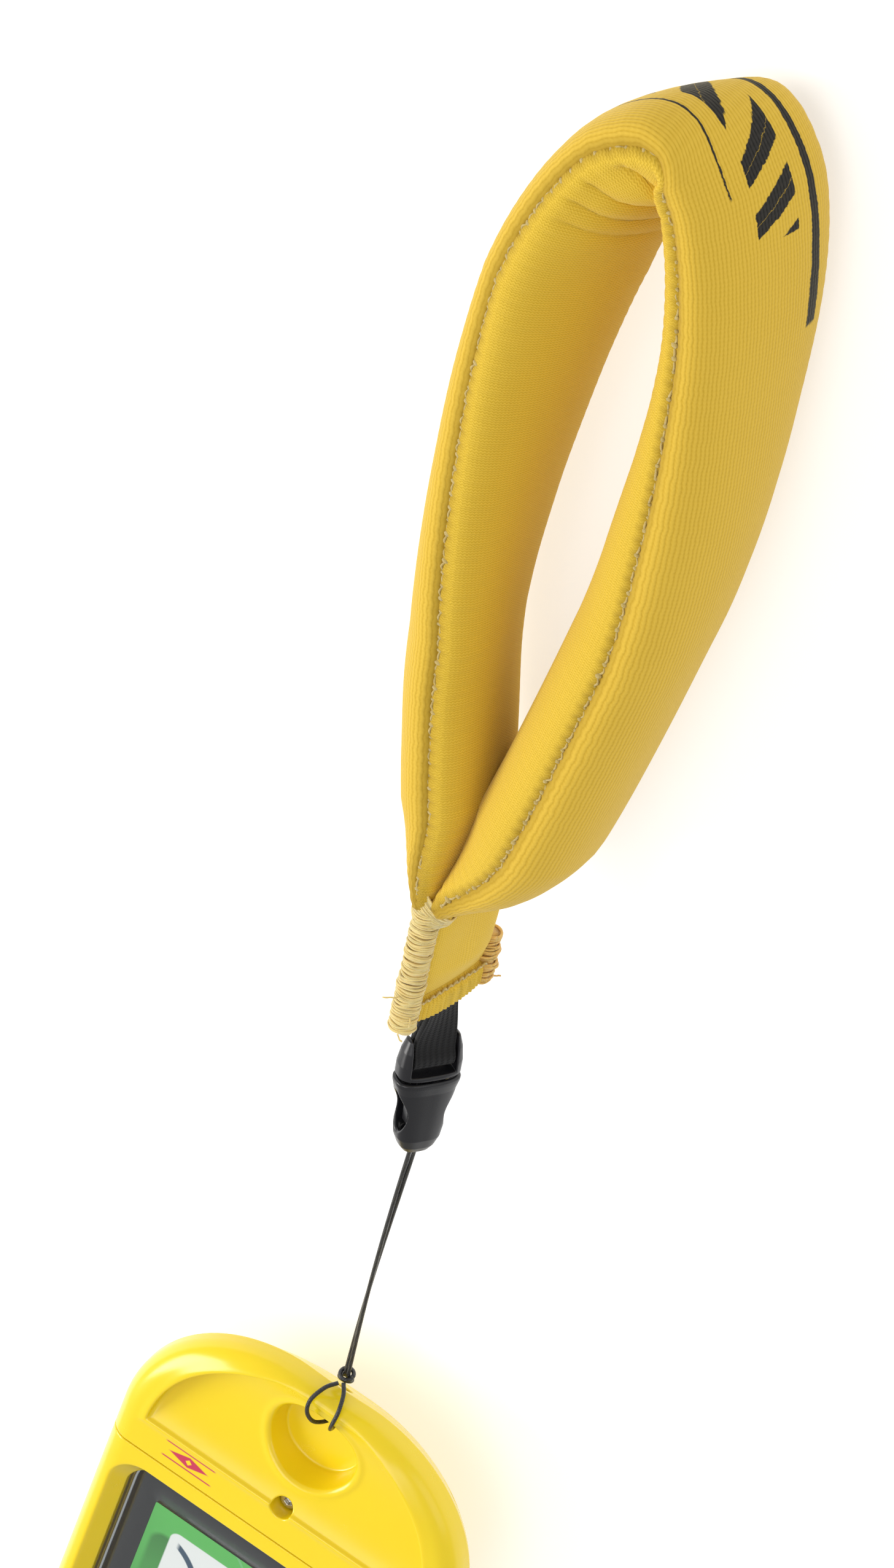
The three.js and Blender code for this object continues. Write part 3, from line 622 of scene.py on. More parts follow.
# The outer panel is a ribbed face; the inner one is the same cloth turned, with finer rows across the band.
FINISHES = {
    "housing": housing_yellow("housing_yellow"),
    "housing_marked": housing_yellow("housing_yellow_marked", True),
    "outer_knit": knit("outer_knit", 0.7, 0.8, (0.57, 0.35, 0.024), (0.72, 0.475, 0.055), 0.8, printed=True),
    "inner_knit": knit("inner_knit", 0.62, 0.5, (0.60, 0.385, 0.022), (0.77, 0.52, 0.055), 0.15),
    "tail_knit": knit("tail_knit", 0.55, 0.5, (0.60, 0.385, 0.025), (0.78, 0.53, 0.065), 0.5),
    "seam_thread": thread("seam_thread", (0.36, 0.25, 0.05), (0.66, 0.50, 0.17)),
    "binding_thread": thread("binding_thread", (0.66, 0.46, 0.13), (0.86, 0.70, 0.30)),
    "frayed_thread": thread("frayed_thread", (0.70, 0.36, 0.03), (0.82, 0.60, 0.20)),
    "clip": moulded("clip_plastic", (0.008, 0.008, 0.010), 0.3, 0.006),
    "latch": moulded("black_plastic", (0.012, 0.012, 0.013), 0.42, 0.015),
    "rubber": moulded("black_rubber", (0.018, 0.018, 0.018), 0.7, 0.03),
    "foam": moulded("shock_foam", (0.03, 0.03, 0.032), 0.95, 0.2, vary=0.3),
    "float_foam": moulded("float_foam", (0.05, 0.05, 0.05), 0.95, 0.2, vary=0.3),
    "steel": moulded("steel", (0.62, 0.62, 0.63), 0.25, 0.004, metallic=1.0),
    "silver": moulded("silver_band", (0.72, 0.73, 0.74), 0.22, 0.003, metallic=1.0),
    "bezel": moulded("black_glass", (0.008, 0.008, 0.010), 0.06, 0.0, coat=1.0),
    "shell": moulded("handset_shell", (0.02, 0.021, 0.023), 0.4, 0.01),
    "circuit": moulded("circuit_board", (0.01, 0.10, 0.04), 0.45, 0.02, vary=0.25),
    "ceramic": moulded("antenna_ceramic", (0.55, 0.47, 0.34), 0.55, 0.02),
    "webbing": woven("webbing", WEBBING_PITCH, (0.002, 0.002, 0.002), (0.012, 0.012, 0.013)),
    "cord": braid("cord"),
    "pane": clear_glass("clear_window", (0.97, 0.98, 0.98), 1.2),
    "lens": clear_glass("camera_window", (0.75, 0.78, 0.8), 2.0),
    "screen": screen("display"),
}


# ---- Pieces ----
def piece(name, mesh, finish, node=None, body=None, place=None, blend=None):
    """A new piece from points and faces. It stands for a CAD node and rides on that node's body, unless it is
    given a body to ride on instead. Given blend, it rides on no body and its transform is baked; the bodies and
    points in blend are not used."""
    points, faces = mesh
    obj = make_object(name, place.to_world(points) if place else points, faces, FINISHES[finish])
    if blend:
        first, second, start, end = blend
        start * MM
        end * MM
        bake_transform(obj)
    else:
        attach(obj, body or BODY_OF[node])
    if node:
        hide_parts(node)
    return obj


def keep_node(node, finish, bevel=0.25):
    """A CAD node whose shape is right: it keeps its mesh and gets softened edges and a finished material."""
    obj = frame["nodes"][node]
    obj.data.materials.clear()
    obj.data.materials.append(FINISHES[finish].material)
    weld = obj.modifiers.new("weld", "WELD")
    weld.merge_threshold = 0.01 * MM
    edges = obj.modifiers.new("soft_edges", "BEVEL")
    edges.width = bevel * MM
    edges.segments = 2
    edges.limit_method = "ANGLE"
    edges.angle_limit = math.radians(32)
    edges.harden_normals = True
    obj.data.polygons.foreach_set("use_smooth", [True] * len(obj.data.polygons))


# ---- Housing ----
def housing_form(x, y, z):
    """A rounded plan, drawn in like a hull towards the back, with a rounded rim."""
    rise = np.clip(z / PARTING, 0.0, 1.0)
    half = 27 + 11 * rise ** 0.55
    top = TOP_END - 22 + 22 * rise ** 0.73
    bottom = -TOP_END + 10 * (1 - np.clip(z / 14, 0, 1)) ** 4
    plan = rounded_rectangle(x, y, half, bottom, top, np.where(y > 0, 31.0, 15.0))
    return round_max(round_max(plan, z - HEIGHT, 4.8), -z, 1.2)


def hinge(y, z, radius):
    return disc(y, z, HINGE_Y, HINGE_Z, radius)


def pin_hole(x, y, z):
    return both(hinge(y, z, PIN_HOLE), np.abs(x) - 30)


def handset_space(x, y, low, z, grow=0.7):
    plan = rounded_rectangle(x, y, HANDSET_HALF + grow, HANDSET_LOW - grow, HANDSET_HIGH + grow, 9.5)
    return both(plan, low - z)


def seal_groove(x, y, z):
    centre = rounded_rectangle(x, y, 35.2, HANDSET_LOW - 2.6, HANDSET_HIGH + 2.6, 11.5)
    return both(np.abs(centre) - 1.0, slab(z, 18.3, 25))


def latch_pocket(x, y, z):
    side = np.abs(x)
    wall = np.where(z > 7.7, 33.5 + (z - 7.7) * 0.252, LATCH_X) - side
    pocket = round_max(wall, slab(z, 3.2, 19.9), 0.4)
    barrel = disc(side, z, LATCH_X, LATCH_Z, 2.5)
    swing = both(disc(side, z, LATCH_X, LATCH_Z, 3.1), z - LATCH_Z)
    return both(np.minimum(np.minimum(pocket, barrel), swing), np.abs(y - LATCH_Y) - LATCH_HALF)


def rear_shell(x, y, z):
    shell = round_max(housing_form(x, y, z), z - PARTING, 0.2)
    shell = cut(shell, both(STEP_LINE - y, CAP_PARTING - z))
    shell = merge(shell, both(hinge(y, z, KNUCKLE), slab(np.abs(x), 11.9, 22.0)), 0.8)
    shell = cut(shell, both(hinge(y, z, KNUCKLE_SPACE), np.abs(x) - 11.9))
    shell = cut(shell, pin_hole(x, y, z), 0.15)
    shell = cut(shell, handset_space(x, y, 8.6, z))
    shell = cut(shell, both(rounded_rectangle(x, y, 26, -66.4, 29.6, 6), slab(z, 3.5, 9)))
    shell = cut(shell, seal_groove(x, y, z), 0.2)
    shell = cut(shell, both(disc(x, y, 0, SCREW_Y, 1.4), 4 - z), 0.15)
    shell = cut(shell, both(disc(x, y, *CAMERA_SPOT, 5.5), z - 9), 0.5)
    shell = cut(shell, latch_pocket(x, y, z), 0.4)
    for _, side, place in BUTTONS:
        stem = both(disc(y, z, place, 14.0, 1.9), 20 - x * side)
        seat = both(np.abs(y - place) - 6.5, np.abs(z - 14) - 3, 36.3 - x * side)
        shell = cut(cut(shell, stem, 0.15), seat, 0.4)
    return shell


def opening(x, y, z):
    inset = 2.4 * (1 - np.clip((z - 22.2) / 3.4, 0, 1))
    return rounded_rectangle(x, y, 34 - inset, OPENING_LOW + inset, OPENING_HIGH - inset, 7.0)


def front_frame(x, y, z):
    body = round_max(housing_form(x, y, z), PARTING + SEAM - z, 0.2)
    body = round_max(body, y - (STEP_LINE - SEAM), 0.2)
    body = cut(body, opening(x, y, z), 0.6)
    pane = both(rounded_rectangle(x, y, 33.3, OPENING_LOW + 0.5, OPENING_HIGH - 0.5, 6), z - 22)
    body = cut(body, pane, 0.1)
    body = cut(body, both(handset_space(x, y, 15, z), z - 20.8), 0.1)
    body = merge(body, both(hinge(y, z, KNUCKLE), np.abs(x) - 11.6), 0.8)
    body = cut(body, both(hinge(y, z, KNUCKLE_SPACE), slab(np.abs(x), 11.6, 22.3)))
    body = cut(body, pin_hole(x, y, z), 0.15)
    body = cut(body, both(disc(x, y, 0, HOME_Y, 5.3), 23.4 - z), 0.35)
    return cut(body, disc(x, y, 0, HOME_Y, 2.3), 0.15)


def lens_outline(x, y):
    arch = np.hypot(x / 31.0, both(y - LENS_LOW, 0) / (LENS_HIGH - LENS_LOW)) - 1
    return both(arch * 24.0, LENS_LOW - y)


def lens(x, y, z):
    """A wide shallow trough: straight along the step, arched at the top end, deepest across its middle."""
    half = (LENS_HIGH - LENS_LOW) / 2 + 0.5
    bend = (half ** 2 + LENS_DEPTH ** 2) / (2 * LENS_DEPTH)
    trough = np.hypot(y - (LENS_LOW + LENS_HIGH) / 2, z - (HEIGHT - LENS_DEPTH + bend)) - bend
    return round_max(lens_outline(x, y), np.where(z > HEIGHT + 3, -1.0, trough), 0.7)


def top_cap(x, y, z):
    """The cap: a beaded trough, a dimple with a lip, the lanyard bridge and the screw's hole."""
    reach = np.hypot(x, y - DIMPLE_Y)
    bead = 0.35 * bell(lens_outline(x, y) - 0.3, 0.9)
    cap = round_max(housing_form(x, y, z - bead), STEP_LINE + SEAM - y, 0.2)
    cap = round_max(cap, CAP_PARTING + SEAM - z, 0.2)
    cap = cut(cap, lens(x, y, z - 0.3 * bell(reach - 10.4, 0.8)), 0.35)
    wall = 8.5 + 1.3 * np.clip((z - 18.2) / 6, 0, 1)
    cap = cut(cap, round_max(reach - wall, 17.6 - z, 0.5), 0.5)
    fall = 0.72 * both(y - DIMPLE_Y - 8.5, 0)
    cap = cut(cap, both(disc(x, z + fall, 0, 20.1, 1.7), DIMPLE_Y - y), 0.4)
    cap = cut(cap, both(disc(x, y, 0, SCREW_Y, 2.2), 20.7 - z), 0.3)
    return cut(cap, disc(x, y, 0, SCREW_Y, 1.4), 0.1)


def screw(x, y, z):
    head = round_max(disc(x, y, 0, SCREW_Y, 1.9), slab(z, 21, 23), 0.35)
    socket = both(both(np.abs(x), np.abs(x) / 2 + np.abs(y - SCREW_Y) * 0.866) - 0.85, 22.1 - z)
    shank = both(disc(x, y, 0, SCREW_Y, 1.05 + 0.12 * np.sin(z * FULL_TURN / 0.8)), slab(z, 4.5, 21.5))
    return merge(cut(head, socket, 0.08), shank, 0.1)


def turned(name, node, profile, centre, axis, finish, sides=64):
    """A turned piece: profile pairs are radius and height along an axis through centre."""
    angle = round_angles(sides)
    first, second = [d for d in range(3) if d != axis]
    rings = np.zeros((len(profile), sides, 3))
    for index, (radius, height) in enumerate(profile):
        rings[index, :, first] = centre[first] + radius * np.cos(angle)
        rings[index, :, second] = centre[second] + radius * np.sin(angle)
        rings[index, :, axis] = height
    piece(name, loft(rings), finish, node)


def button_profile(radius, low, high, edge, dish):
    """A disc with a rounded upper edge and a dished top."""
    profile = [(radius - 0.2, low), (radius, low + 0.2)]
    for turn in np.linspace(0, np.pi / 2, 7):
        profile.append((radius - edge + edge * math.cos(turn), high - edge + edge * math.sin(turn)))
    for share in (0.8, 0.6, 0.4, 0.2, 0.02):
        profile.append(((radius - edge) * share, high - dish * (1 - share ** 2)))
    return profile


def level_ring(outline, inset, z, corner=14):
    """Points round a level outline, given as (half, low, high, radius), drawn in by inset."""
    half, low, high, radius = outline
    right, bottom, top, radius = half - inset, low + inset, high - inset, max(0.3, radius - inset)
    points = []
    for x, y, start in ((right - radius, top - radius, 0), (radius - right, top - radius, 90),
                        (radius - right, bottom + radius, 180), (right - radius, bottom + radius, 270)):
        for turn in np.radians(np.linspace(start, start + 90, corner)):
            points.append((x + radius * math.cos(turn), y + radius * math.sin(turn), z))
    return np.array(points)


# A plate's edge, as shares of its size: how far it is drawn in, and how far above the lower face.
SOFT_EDGE = [(1, 0), (0.3, 0.3), (0, 1)]


def plate(name, node, outline, z0, z1, edge, finish):
    """A flat plate with softened edges."""
    lower = [(share * edge, z0 + rise * edge) for share, rise in SOFT_EDGE]
    upper = [(share * edge, z1 - rise * edge) for share, rise in reversed(SOFT_EDGE)]
    obj = piece(name, loft([level_ring(outline, inset, z) for inset, z in lower + upper]), finish, node)
    obj.data.polygons.foreach_set("use_smooth", [len(p.vertices) == 4 for p in obj.data.polygons])


def rim(name, node, outer, inner, z0, z1, edge, finish):
    """A closed frame between two outlines."""
    levels = [(edge, z0), (0, z0 + edge), (0, z1 - edge), (edge, z1)]
    rings = [level_ring(outer, inset, z) for inset, z in levels]
    rings += [level_ring(inner, -inset, z) for inset, z in reversed(levels)]
    points = np.concatenate(rings)
    faces = grid_quads(len(rings) + 1, len(rings[0])) % len(points)
    piece(name, turn_out(points, faces.tolist()), finish, node)


def build_housing():
    fine = 0.32
    for node, field, low, high, step, finish in (
            ("rear_shell", rear_shell, (-40, -90, -1), (40, 85, 24), fine * 1.5, "housing"),
            ("front_frame", front_frame, (-40, -90, 15), (40, 46, 28), fine, "housing"),
            ("top_cap", top_cap, (-40, 43, 11), (40, 85, 28), fine * 0.7, "housing_marked"),
            ("cap_screw", screw, (-3, 50, 3), (3, 56, 24), 0.12, "steel")):
        piece(node + "_body", surface_net(field, low, high, step), finish, node)
    button = [(1.9, 21.8), (2.0, 24.9)] + button_profile(5.0, 24.9, 26.6, 0.5, 0.25)
    turned("home_button_body", "home_button", button, (0, HOME_Y, 0), 2, "housing")
    turned("hinge_pin_rod", "hinge_pin", [(0.8, -22), (1.2, -21.6), (1.2, 21.6), (0.8, 22)],
           (0, HINGE_Y, HINGE_Z), 0, "steel", 32)
    turned("camera_window_disc", "rear_camera_window", [(4.8, 0.5), (5.2, 0.9), (5.2, 1.7), (4.9, 2.0)],
           (*CAMERA_SPOT, 0), 2, "lens")
    for word, side in (("left", -1), ("right", 1)):
        pin = f"latch_pin_{word}"
        profile = [(0.5, -35), (0.7, -34.8), (0.7, -5.2), (0.5, -5)]
        turned(pin + "_rod", pin, profile, (side * LATCH_X, 0, LATCH_Z), 1, "steel", 24)
        keep_node(f"latch_lever_{word}", "latch", 0.35)
    for name, _, _ in BUTTONS:
        keep_node(name, "rubber", 0.6)
    rim("seal_gasket_ring", "seal_gasket", (35.9, HANDSET_LOW - 3.3, HANDSET_HIGH + 3.3, 12),
        (34.5, HANDSET_LOW - 1.9, HANDSET_HIGH + 1.9, 11), 18.6, 19.5, 0.2, "rubber")
    pane = (33, OPENING_LOW + 0.8, OPENING_HIGH - 0.8, 5.7)
    plate("window_pane_sheet", "window_pane", pane, 20.9, 21.7, 0.15, "pane")
    for word in ("upper", "lower"):
        keep_node(f"shock_pad_{word}", "foam", 0.6)


# ---- Handset ----
def build_handset():
    def outline(inset):
        return HANDSET_HALF - inset, HANDSET_LOW + inset, HANDSET_HIGH - inset, 9.0 - inset

    low, high = HANDSET_HIGH - 117.6 + 17, HANDSET_HIGH - 11.4
    window = (25.03, low - 0.03, high + 0.03, 0.4)
    rim("handset_band_frame", "handset_band", outline(0), outline(1.2), 13.0, 20.2, 0.35, "silver")
    rim("handset_glass_bezel", "handset_glass", outline(1.3), window, 18.9, 20.4, 0.02, "bezel")
    plate("display_panel_face", "display_panel", (25.0, low, high, 0.4), 17.6, 20.4, 0.02, "screen")
    for node, finish in (("handset_back", "shell"), ("logic_board", "circuit"), ("shield_can", "steel"),
                         ("gps_antenna", "ceramic"), ("camera_module", "bezel"), ("battery", "shell"),
                         ("speaker", "rubber")):
        keep_node(node, finish)


# ---- Cord ----
def build_hitch():
    """A bight that comes up out of the dimple, crosses the rim and is drawn tight at the knot."""
    left = [(0.75, 80.8, 20.1), (0.9, 77.2, 20.2), (0.7, 75.9, 21.6), (-0.9, 76.6, 24.6), (-2.3, 79.4, 26.3),
            (-2.7, 82.4, 26.0), (-1.7, 84.9, 23.8), (-0.2, 86.0, 21.9)]
    right = [(-0.75, 80.8, 20.1), (1.2, 77.4, 19.9), (2.3, 76.4, 22.2), (2.6, 77.6, 24.8), (3.0, 80.4, 26.2),
             (2.9, 83.2, 25.2), (1.9, 85.3, 23.0), (0.6, 86.2, 21.4)]
    bight = [sweep(smooth_path(side, 0.25)[0], 0.42, 10) for side in (left, right)]
    piece("hitch_bight_cord", join_parts(bight), "cord", "hitch_bight")
    turns = []
    for shift, lean in ((-0.55, 0.5), (0.45, -0.4)):
        ring = [HITCH + CORD_ALONG * (shift + lean * math.sin(a))
                + 1.25 * (CORD_SIDE * math.cos(a) + UP * math.sin(a)) for a in np.linspace(0, FULL_TURN, 29)]
        turns.append(sweep(ring, 0.42, 10))
    piece("hitch_knot_cord", join_parts(turns), "cord", "hitch_knot")


def build_cord():
    """Two strands that wind loosely round each other and sag a little to one side."""
    length = np.linalg.norm(CLIP_FOOT - HITCH)
    for word, sign in (("left", -1), ("right", 1)):
        path = []
        for share in np.linspace(0, 1, 120):
            turn = 0.4 + share * 2.2
            bow = 0.7 * math.sin(math.pi * share) * math.exp(-share * 0.6)
            offset = 0.42 * sign * (CORD_SIDE * math.cos(turn) + UP * math.sin(turn))
            path.append(HITCH + CORD_ALONG * (length * share + 0.8 * share) + offset - CORD_SIDE * bow)
        piece(f"cord_strand_{word}_line", sweep(path, 0.4, 12), "cord", f"cord_strand_{word}",
              blend=("hitch", "cord", HITCH, HITCH + CORD_ALONG * 9.0))


# ---- Clip ----
def oval(x, z, thickness, width, exponent=3.0):
    """Distance from an oval section, measured along its shorter side."""
    reach = (np.abs(x / thickness) ** exponent + np.abs(z / width) ** exponent + 1e-9) ** (1 / exponent)
    return (reach - 1) * np.minimum(thickness, width)


def socket_field(x, y, z):
    levels = [-0.4, 0.4, 1.5, 3.5, 14.5, 16.2, 17.3]
    width = np.interp(y, levels, [1.4, 2.6, 3.4, 4.2, 5.75, 6.2, 6.25])
    thickness = np.interp(y, levels, [1.2, 2.0, 2.5, 2.9, 3.1, 3.3, 3.35])
    body = round_max(oval(x, z, thickness, width), slab(y, -0.35, SOCKET_LENGTH), 0.5)
    hollow = oval(x, z, np.interp(y, [4.6, 17], [1.7, 2.4]), np.interp(y, [4.6, 17], [3.0, 5.2]))
    body = cut(body, both(hollow, 4.6 - y), 0.35)
    body = cut(body, (np.hypot(x / 2.3, (y - 9.6) / 4.7) - 1) * 2.3, 0.4)
    return cut(body, np.hypot(x, z) - 0.95 - 0.6 * np.clip(1 - y, 0, 1), 0.25)


def plug_field(x, y, z):
    base = SOCKET_LENGTH + 0.3
    levels = [base, base + 3, base + 6, PLUG_TOP]
    width = np.interp(y, levels, [6.05, 6.1, 5.7, 4.9])
    thickness = np.interp(y, levels, [3.15, 3.0, 2.6, 1.9])
    head = round_max(oval(x, z, thickness, width), slab(y, base, PLUG_TOP), 0.6)
    head = cut(head, both(np.abs(z) - 4.3, base + 1.2 - y), 0.35)
    bar = both(disc(x, y, 0, BAR_PLACE, 1.0), np.abs(z) - 5)
    # Rounding the stem against itself draws its faces in by 0.06 mm.
    stem = both(np.abs(x) - 1.4, np.abs(z) - 1, slab(y, 7.5, base + 0.6))
    stem = round_max(stem, stem, 0.2)
    lean = 1.8 + (y - 6.4) * 0.062
    prong = both(np.abs(x) - 1.0, np.abs(np.abs(z) - lean - 0.6) - 0.45, slab(y, 6.4, base + 0.6))
    return merge(merge(head, bar, 0.3), np.minimum(stem, prong), 0.3)


def build_clip():
    step = 0.13
    for node, field, start, end in (("clip_socket", socket_field, -1, 18), ("clip_plug", plug_field, 6, 27)):
        net = surface_net(field, (-4, start, -7), (4, end, 7), step)
        piece(node + "_body", net, "clip", node, place=CLIP)


def build_webbing():
    """Ribbed webbing round the bar, its two plies lying together on the way into the strap's tail. It twists
    from the clip's roll to the tail's."""
    half, ply, wrap = 3.9, 0.62, 1.75
    line = [(ply, WEBBING_END + 3), (ply, WEBBING_END - 3), (ply + 0.2, BAR_PLACE + 3.0)]
    for turn in np.radians(np.linspace(20, -200, 12)):
        line.append((wrap * math.cos(turn), BAR_PLACE + wrap * math.sin(turn)))
    line += [(-ply - 0.2, BAR_PLACE + 3.0), (-ply, WEBBING_END - 3), (-ply, WEBBING_END + 3)]
    path, length = smooth_path(line, 0.22)
    tangent = unit(np.gradient(path, axis=0))
    outward = np.column_stack([tangent[:, 1], -tangent[:, 0]])
    across = np.linspace(-half, half, 57)
    wave = np.cos(np.pi * across / WEBBING_PITCH)
    rings = []
    for place, out, pick in zip(path, outward, 0.05 * np.sin(FULL_TURN * length / 1.3)):
        height = 0.5 + 0.16 * np.abs(wave) + pick * np.sign(wave)
        upper = np.column_stack([place + out * height[:, None], across])
        lower = np.column_stack([np.tile(place - out * 0.5, (len(across), 1)), across])
        rings.append(np.vstack([upper, lower[::-1]]))
    points, faces = loft(rings)
    twist = np.radians(CLIP_ROLL - TAIL_ROLL) * smoothstep(points[:, 1], PLUG_TOP - 2.0, WEBBING_END)
    x, y, z = points.T
    c, s = np.cos(twist), np.sin(twist)
    points = np.column_stack([x * c + z * s, y, z * c - x * s])
    start, end = CLIP.to_world([[0, WEBBING_END - 2.5, 0], [0, WEBBING_END + 1.5, 0]])
    obj = piece("webbing_band", (points, faces), "webbing", "webbing", place=CLIP,
                blend=("clip_plug", "strap", start, end))
    set_map(obj, np.concatenate([across, across[::-1]]), length)


def set_map(obj, across, along):
    """A knit map in millimetres, for a grid of points with one row per value of along."""
    place = np.column_stack([np.tile(across, len(along)), np.repeat(along, len(across))])
    layer = obj.data.uv_layers.new(name="knit")
    index = np.zeros(len(obj.data.loops), int)
    obj.data.loops.foreach_get("vertex_index", index)
    layer.data.foreach_set("uv", place[index].astype(np.float32).ravel())


def set_edge(obj, distance):
    """How far each vertex is from a sewn edge, in millimetres, for the painted shade in the seam groove."""
    layer = obj.data.attributes.new("edge", "FLOAT", "POINT")
    layer.data.foreach_set("value", np.asarray(distance, np.float32))


# ---- Strap ----
def loop_line():
    left = [(-x, y) for x, y in reversed(LEFT_LIMB)]
    points, length = smooth_path(np.array(RIGHT_LIMB + [(0, LOOP_LENGTH)] + left, float), 0.2)
    return points + np.array([TAIL_SHIFT, TAIL_LENGTH]), length


LINE, LINE_LENGTH = loop_line()
BAND_LENGTH = LINE_LENGTH[-1]


def right_share(centre):
    """0 on the left limb, 1 on the right one."""
    return smoothstep(centre[:, 0] - TAIL_SHIFT, -7, 7)


def band_axis(v):
    """Centre, outward and upward directions of the band at distances v along it. The section rolls with
    the tail at the foot, and the other way further up; both limbs lean to the left at the bend."""
    slope = np.gradient(LINE, LINE_LENGTH, axis=0)
    centre, forward = np.zeros((len(v), 3)), np.zeros((len(v), 3))
    for axis in (0, 1):
        centre[:, axis] = np.interp(v, LINE_LENGTH, LINE[:, axis])
        forward[:, axis] = np.interp(v, LINE_LENGTH, slope[:, axis])
    forward = unit(forward)
    reach = centre[:, 1] - TAIL_LENGTH
    share = right_share(centre)
    limb = (1 - share) * np.clip(0.45 * (reach - 77), -10, 23) + share * np.clip(0.26 * (reach - 80), -3, 24)
    roll = TAIL_ROLL + (limb - TAIL_ROLL) * smoothstep(reach, 0, 22)
    up = np.column_stack([-np.tan(np.radians(roll)), np.zeros(len(v)), np.ones(len(v))])
    up = unit(up - forward * (up * forward).sum(1, keepdims=True))
    return centre, np.cross(forward, up), up


def shift(direction, amount):
    """Moves for a grid of rings: amount is one number per point, direction one vector per ring."""
    return direction[:, None, :] * amount[..., None]


def band_size(centre):
    """Half thickness and half width of the band where its centre is."""
    side = np.abs(centre[:, 0] - TAIL_SHIFT)
    reach = centre[:, 1] - TAIL_LENGTH
    full = BAND_HALF_THICKNESS - 1.2 * smoothstep(reach, 100, LOOP_LENGTH)
    full = full + 2.2 * right_share(centre) * (1 - smoothstep(reach, 86, 136))
    pinched = -round_max(-full, -(side - 0.25), 1.5)
    thick = np.where(reach > 56, full, pinched)
    wide = BAND_FOOT_HALF_WIDTH + (BAND_HALF_WIDTH - BAND_FOOT_HALF_WIDTH) * smoothstep(reach, -4, 30)
    return thick, wide


def band_rings(v, turn):
    """Rings of the band, one per v. Angle 0 is the outer face and 90 degrees the upper seam."""
    centre, outward, up = band_axis(v)
    thick, wide = band_size(centre)
    c, s = power(np.cos(turn), 0.92), power(np.sin(turn), 0.96)
    return centre[:, None, :] + shift(outward, thick[:, None] * c) + shift(up, wide[:, None] * s)


def panel_turn(count):
    """Angles round a whole section, close together near both seams, with a point on each seam."""
    half = np.sin(np.linspace(-1, 1, count + 1) * np.pi / 2) * np.pi / 2
    return np.concatenate([half[:-1], half[:-1] + np.pi])


def swell(rings, sewn):
    """How far each point of the cover moves when it is blown up between its sewn edges."""
    points, faces = loft(rings)
    obj = make_object("swelling_cover", STRAP.to_world(points), faces)
    count, sides = rings.shape[:2]
    group = obj.vertex_groups.new(name="sewn")
    held = {r * sides + k for r in range(count) for k in sewn}
    held |= {r * sides + k for r in (0, 1, count - 2, count - 1) for k in range(sides)}
    group.add(sorted(held), 1.0, "REPLACE")
    cloth = obj.modifiers.new("cloth", "CLOTH")
    cloth.settings.vertex_group_mass = "sewn"
    cloth.settings.use_pressure = True
    cloth.settings.uniform_pressure_force = PRESSURE
    cloth.settings.effector_weights.gravity = 0.0
    cloth.settings.quality = 6
    cloth.point_cache.frame_start = 1
    cloth.point_cache.frame_end = FRAMES
    scene = bpy.context.scene
    for number in range(1, FRAMES + 1):
        scene.frame_set(number)
    shaped = obj.evaluated_get(bpy.context.evaluated_depsgraph_get())
    after = np.zeros(len(points) * 3)
    shaped.data.vertices.foreach_get("co", after)
    moved = (after.reshape(-1, 3) / MM - STRAP.origin) @ STRAP.axes.T - points
    scene.frame_set(1)
    bpy.data.objects.remove(obj)
    size = np.linalg.norm(moved, axis=1, keepdims=True)
    moved = moved * np.minimum(1.0, SWELL_CAP / np.maximum(size, 1e-9))
    return moved.reshape(rings.shape)


def resample(values, rows, columns, new_rows, new_columns):
    """A grid of vectors read at new row and column places."""
    step_one = np.stack([
        np.stack([np.interp(new_rows, rows, values[:, k, axis]) for k in range(values.shape[1])], 1)
        for axis in range(3)], -1)
    return np.stack([
        np.stack([np.interp(new_columns, columns, line[:, axis]) for line in step_one], 0)
        for axis in range(3)], -1)


def band_cover(v, turn):
    """The cover's rings, swelled by the simulation and then with their groove, gathers and folds, and each
    point's distance from a sewn edge."""
    rings = band_rings(v, turn)
    coarse_v = np.linspace(0, BAND_LENGTH, 190)
    coarse_turn = panel_turn(12)
    moved = swell(band_rings(coarse_v, coarse_turn), (0, 12))
    whole_turn = np.concatenate([coarse_turn, [coarse_turn[0] + FULL_TURN]])
    moved = np.concatenate([moved, moved[:, :1]], 1)
    rings = rings + resample(moved, coarse_v, whole_turn, v, turn)
    return detail_band(rings, v, turn), seam_distance(rings)


def build_band():
    v = np.linspace(0, BAND_LENGTH, 600)
    rings, edge = band_cover(v, panel_turn(BAND_SIDES // 2))
    half = BAND_SIDES // 2
    for word, first in (("outer", 0), ("inner", half)):
        columns = [k % BAND_SIDES for k in range(first, first + half + 1)]
        panel = rings[:, columns]
        sheet = panel.reshape(-1, 3), grid_quads(len(v), len(columns), False)
        obj = piece(f"strap_cover_{word}", sheet, f"{word}_knit", f"strap_{word}_panel", place=STRAP)
        gaps = np.linalg.norm(np.diff(panel[len(v) // 3], axis=0), axis=1)
        across = np.cumsum(np.concatenate([[0], gaps]))
        set_map(obj, across - across[-1] / 2, v)
        set_edge(obj, edge[:, columns].ravel())
        shell = obj.modifiers.new("cloth_thickness", "SOLIDIFY")
        shell.thickness = 1.1 * MM
        shell.offset = -1
    for word, column, side in (("lower", 0, -1), ("upper", half, 1)):
        build_seam(word, rings[:, column], rings[:, column - 1], rings[:, column + 1], v, side)
    core = band_rings(np.linspace(12, BAND_LENGTH - 12, 80), round_angles(24))
    centre = core.mean(1, keepdims=True)
    piece("float_core_foam", loft(centre + (core - centre) * 0.55), "float_foam", "float_core", place=STRAP)


def seam_distance(rings):
    """How far each point of the band is from the nearer sewn edge of its ring."""
    half = rings.shape[1] // 2
    return np.minimum(*(np.linalg.norm(rings - rings[:, seam:seam + 1], axis=-1) for seam in (0, half)))


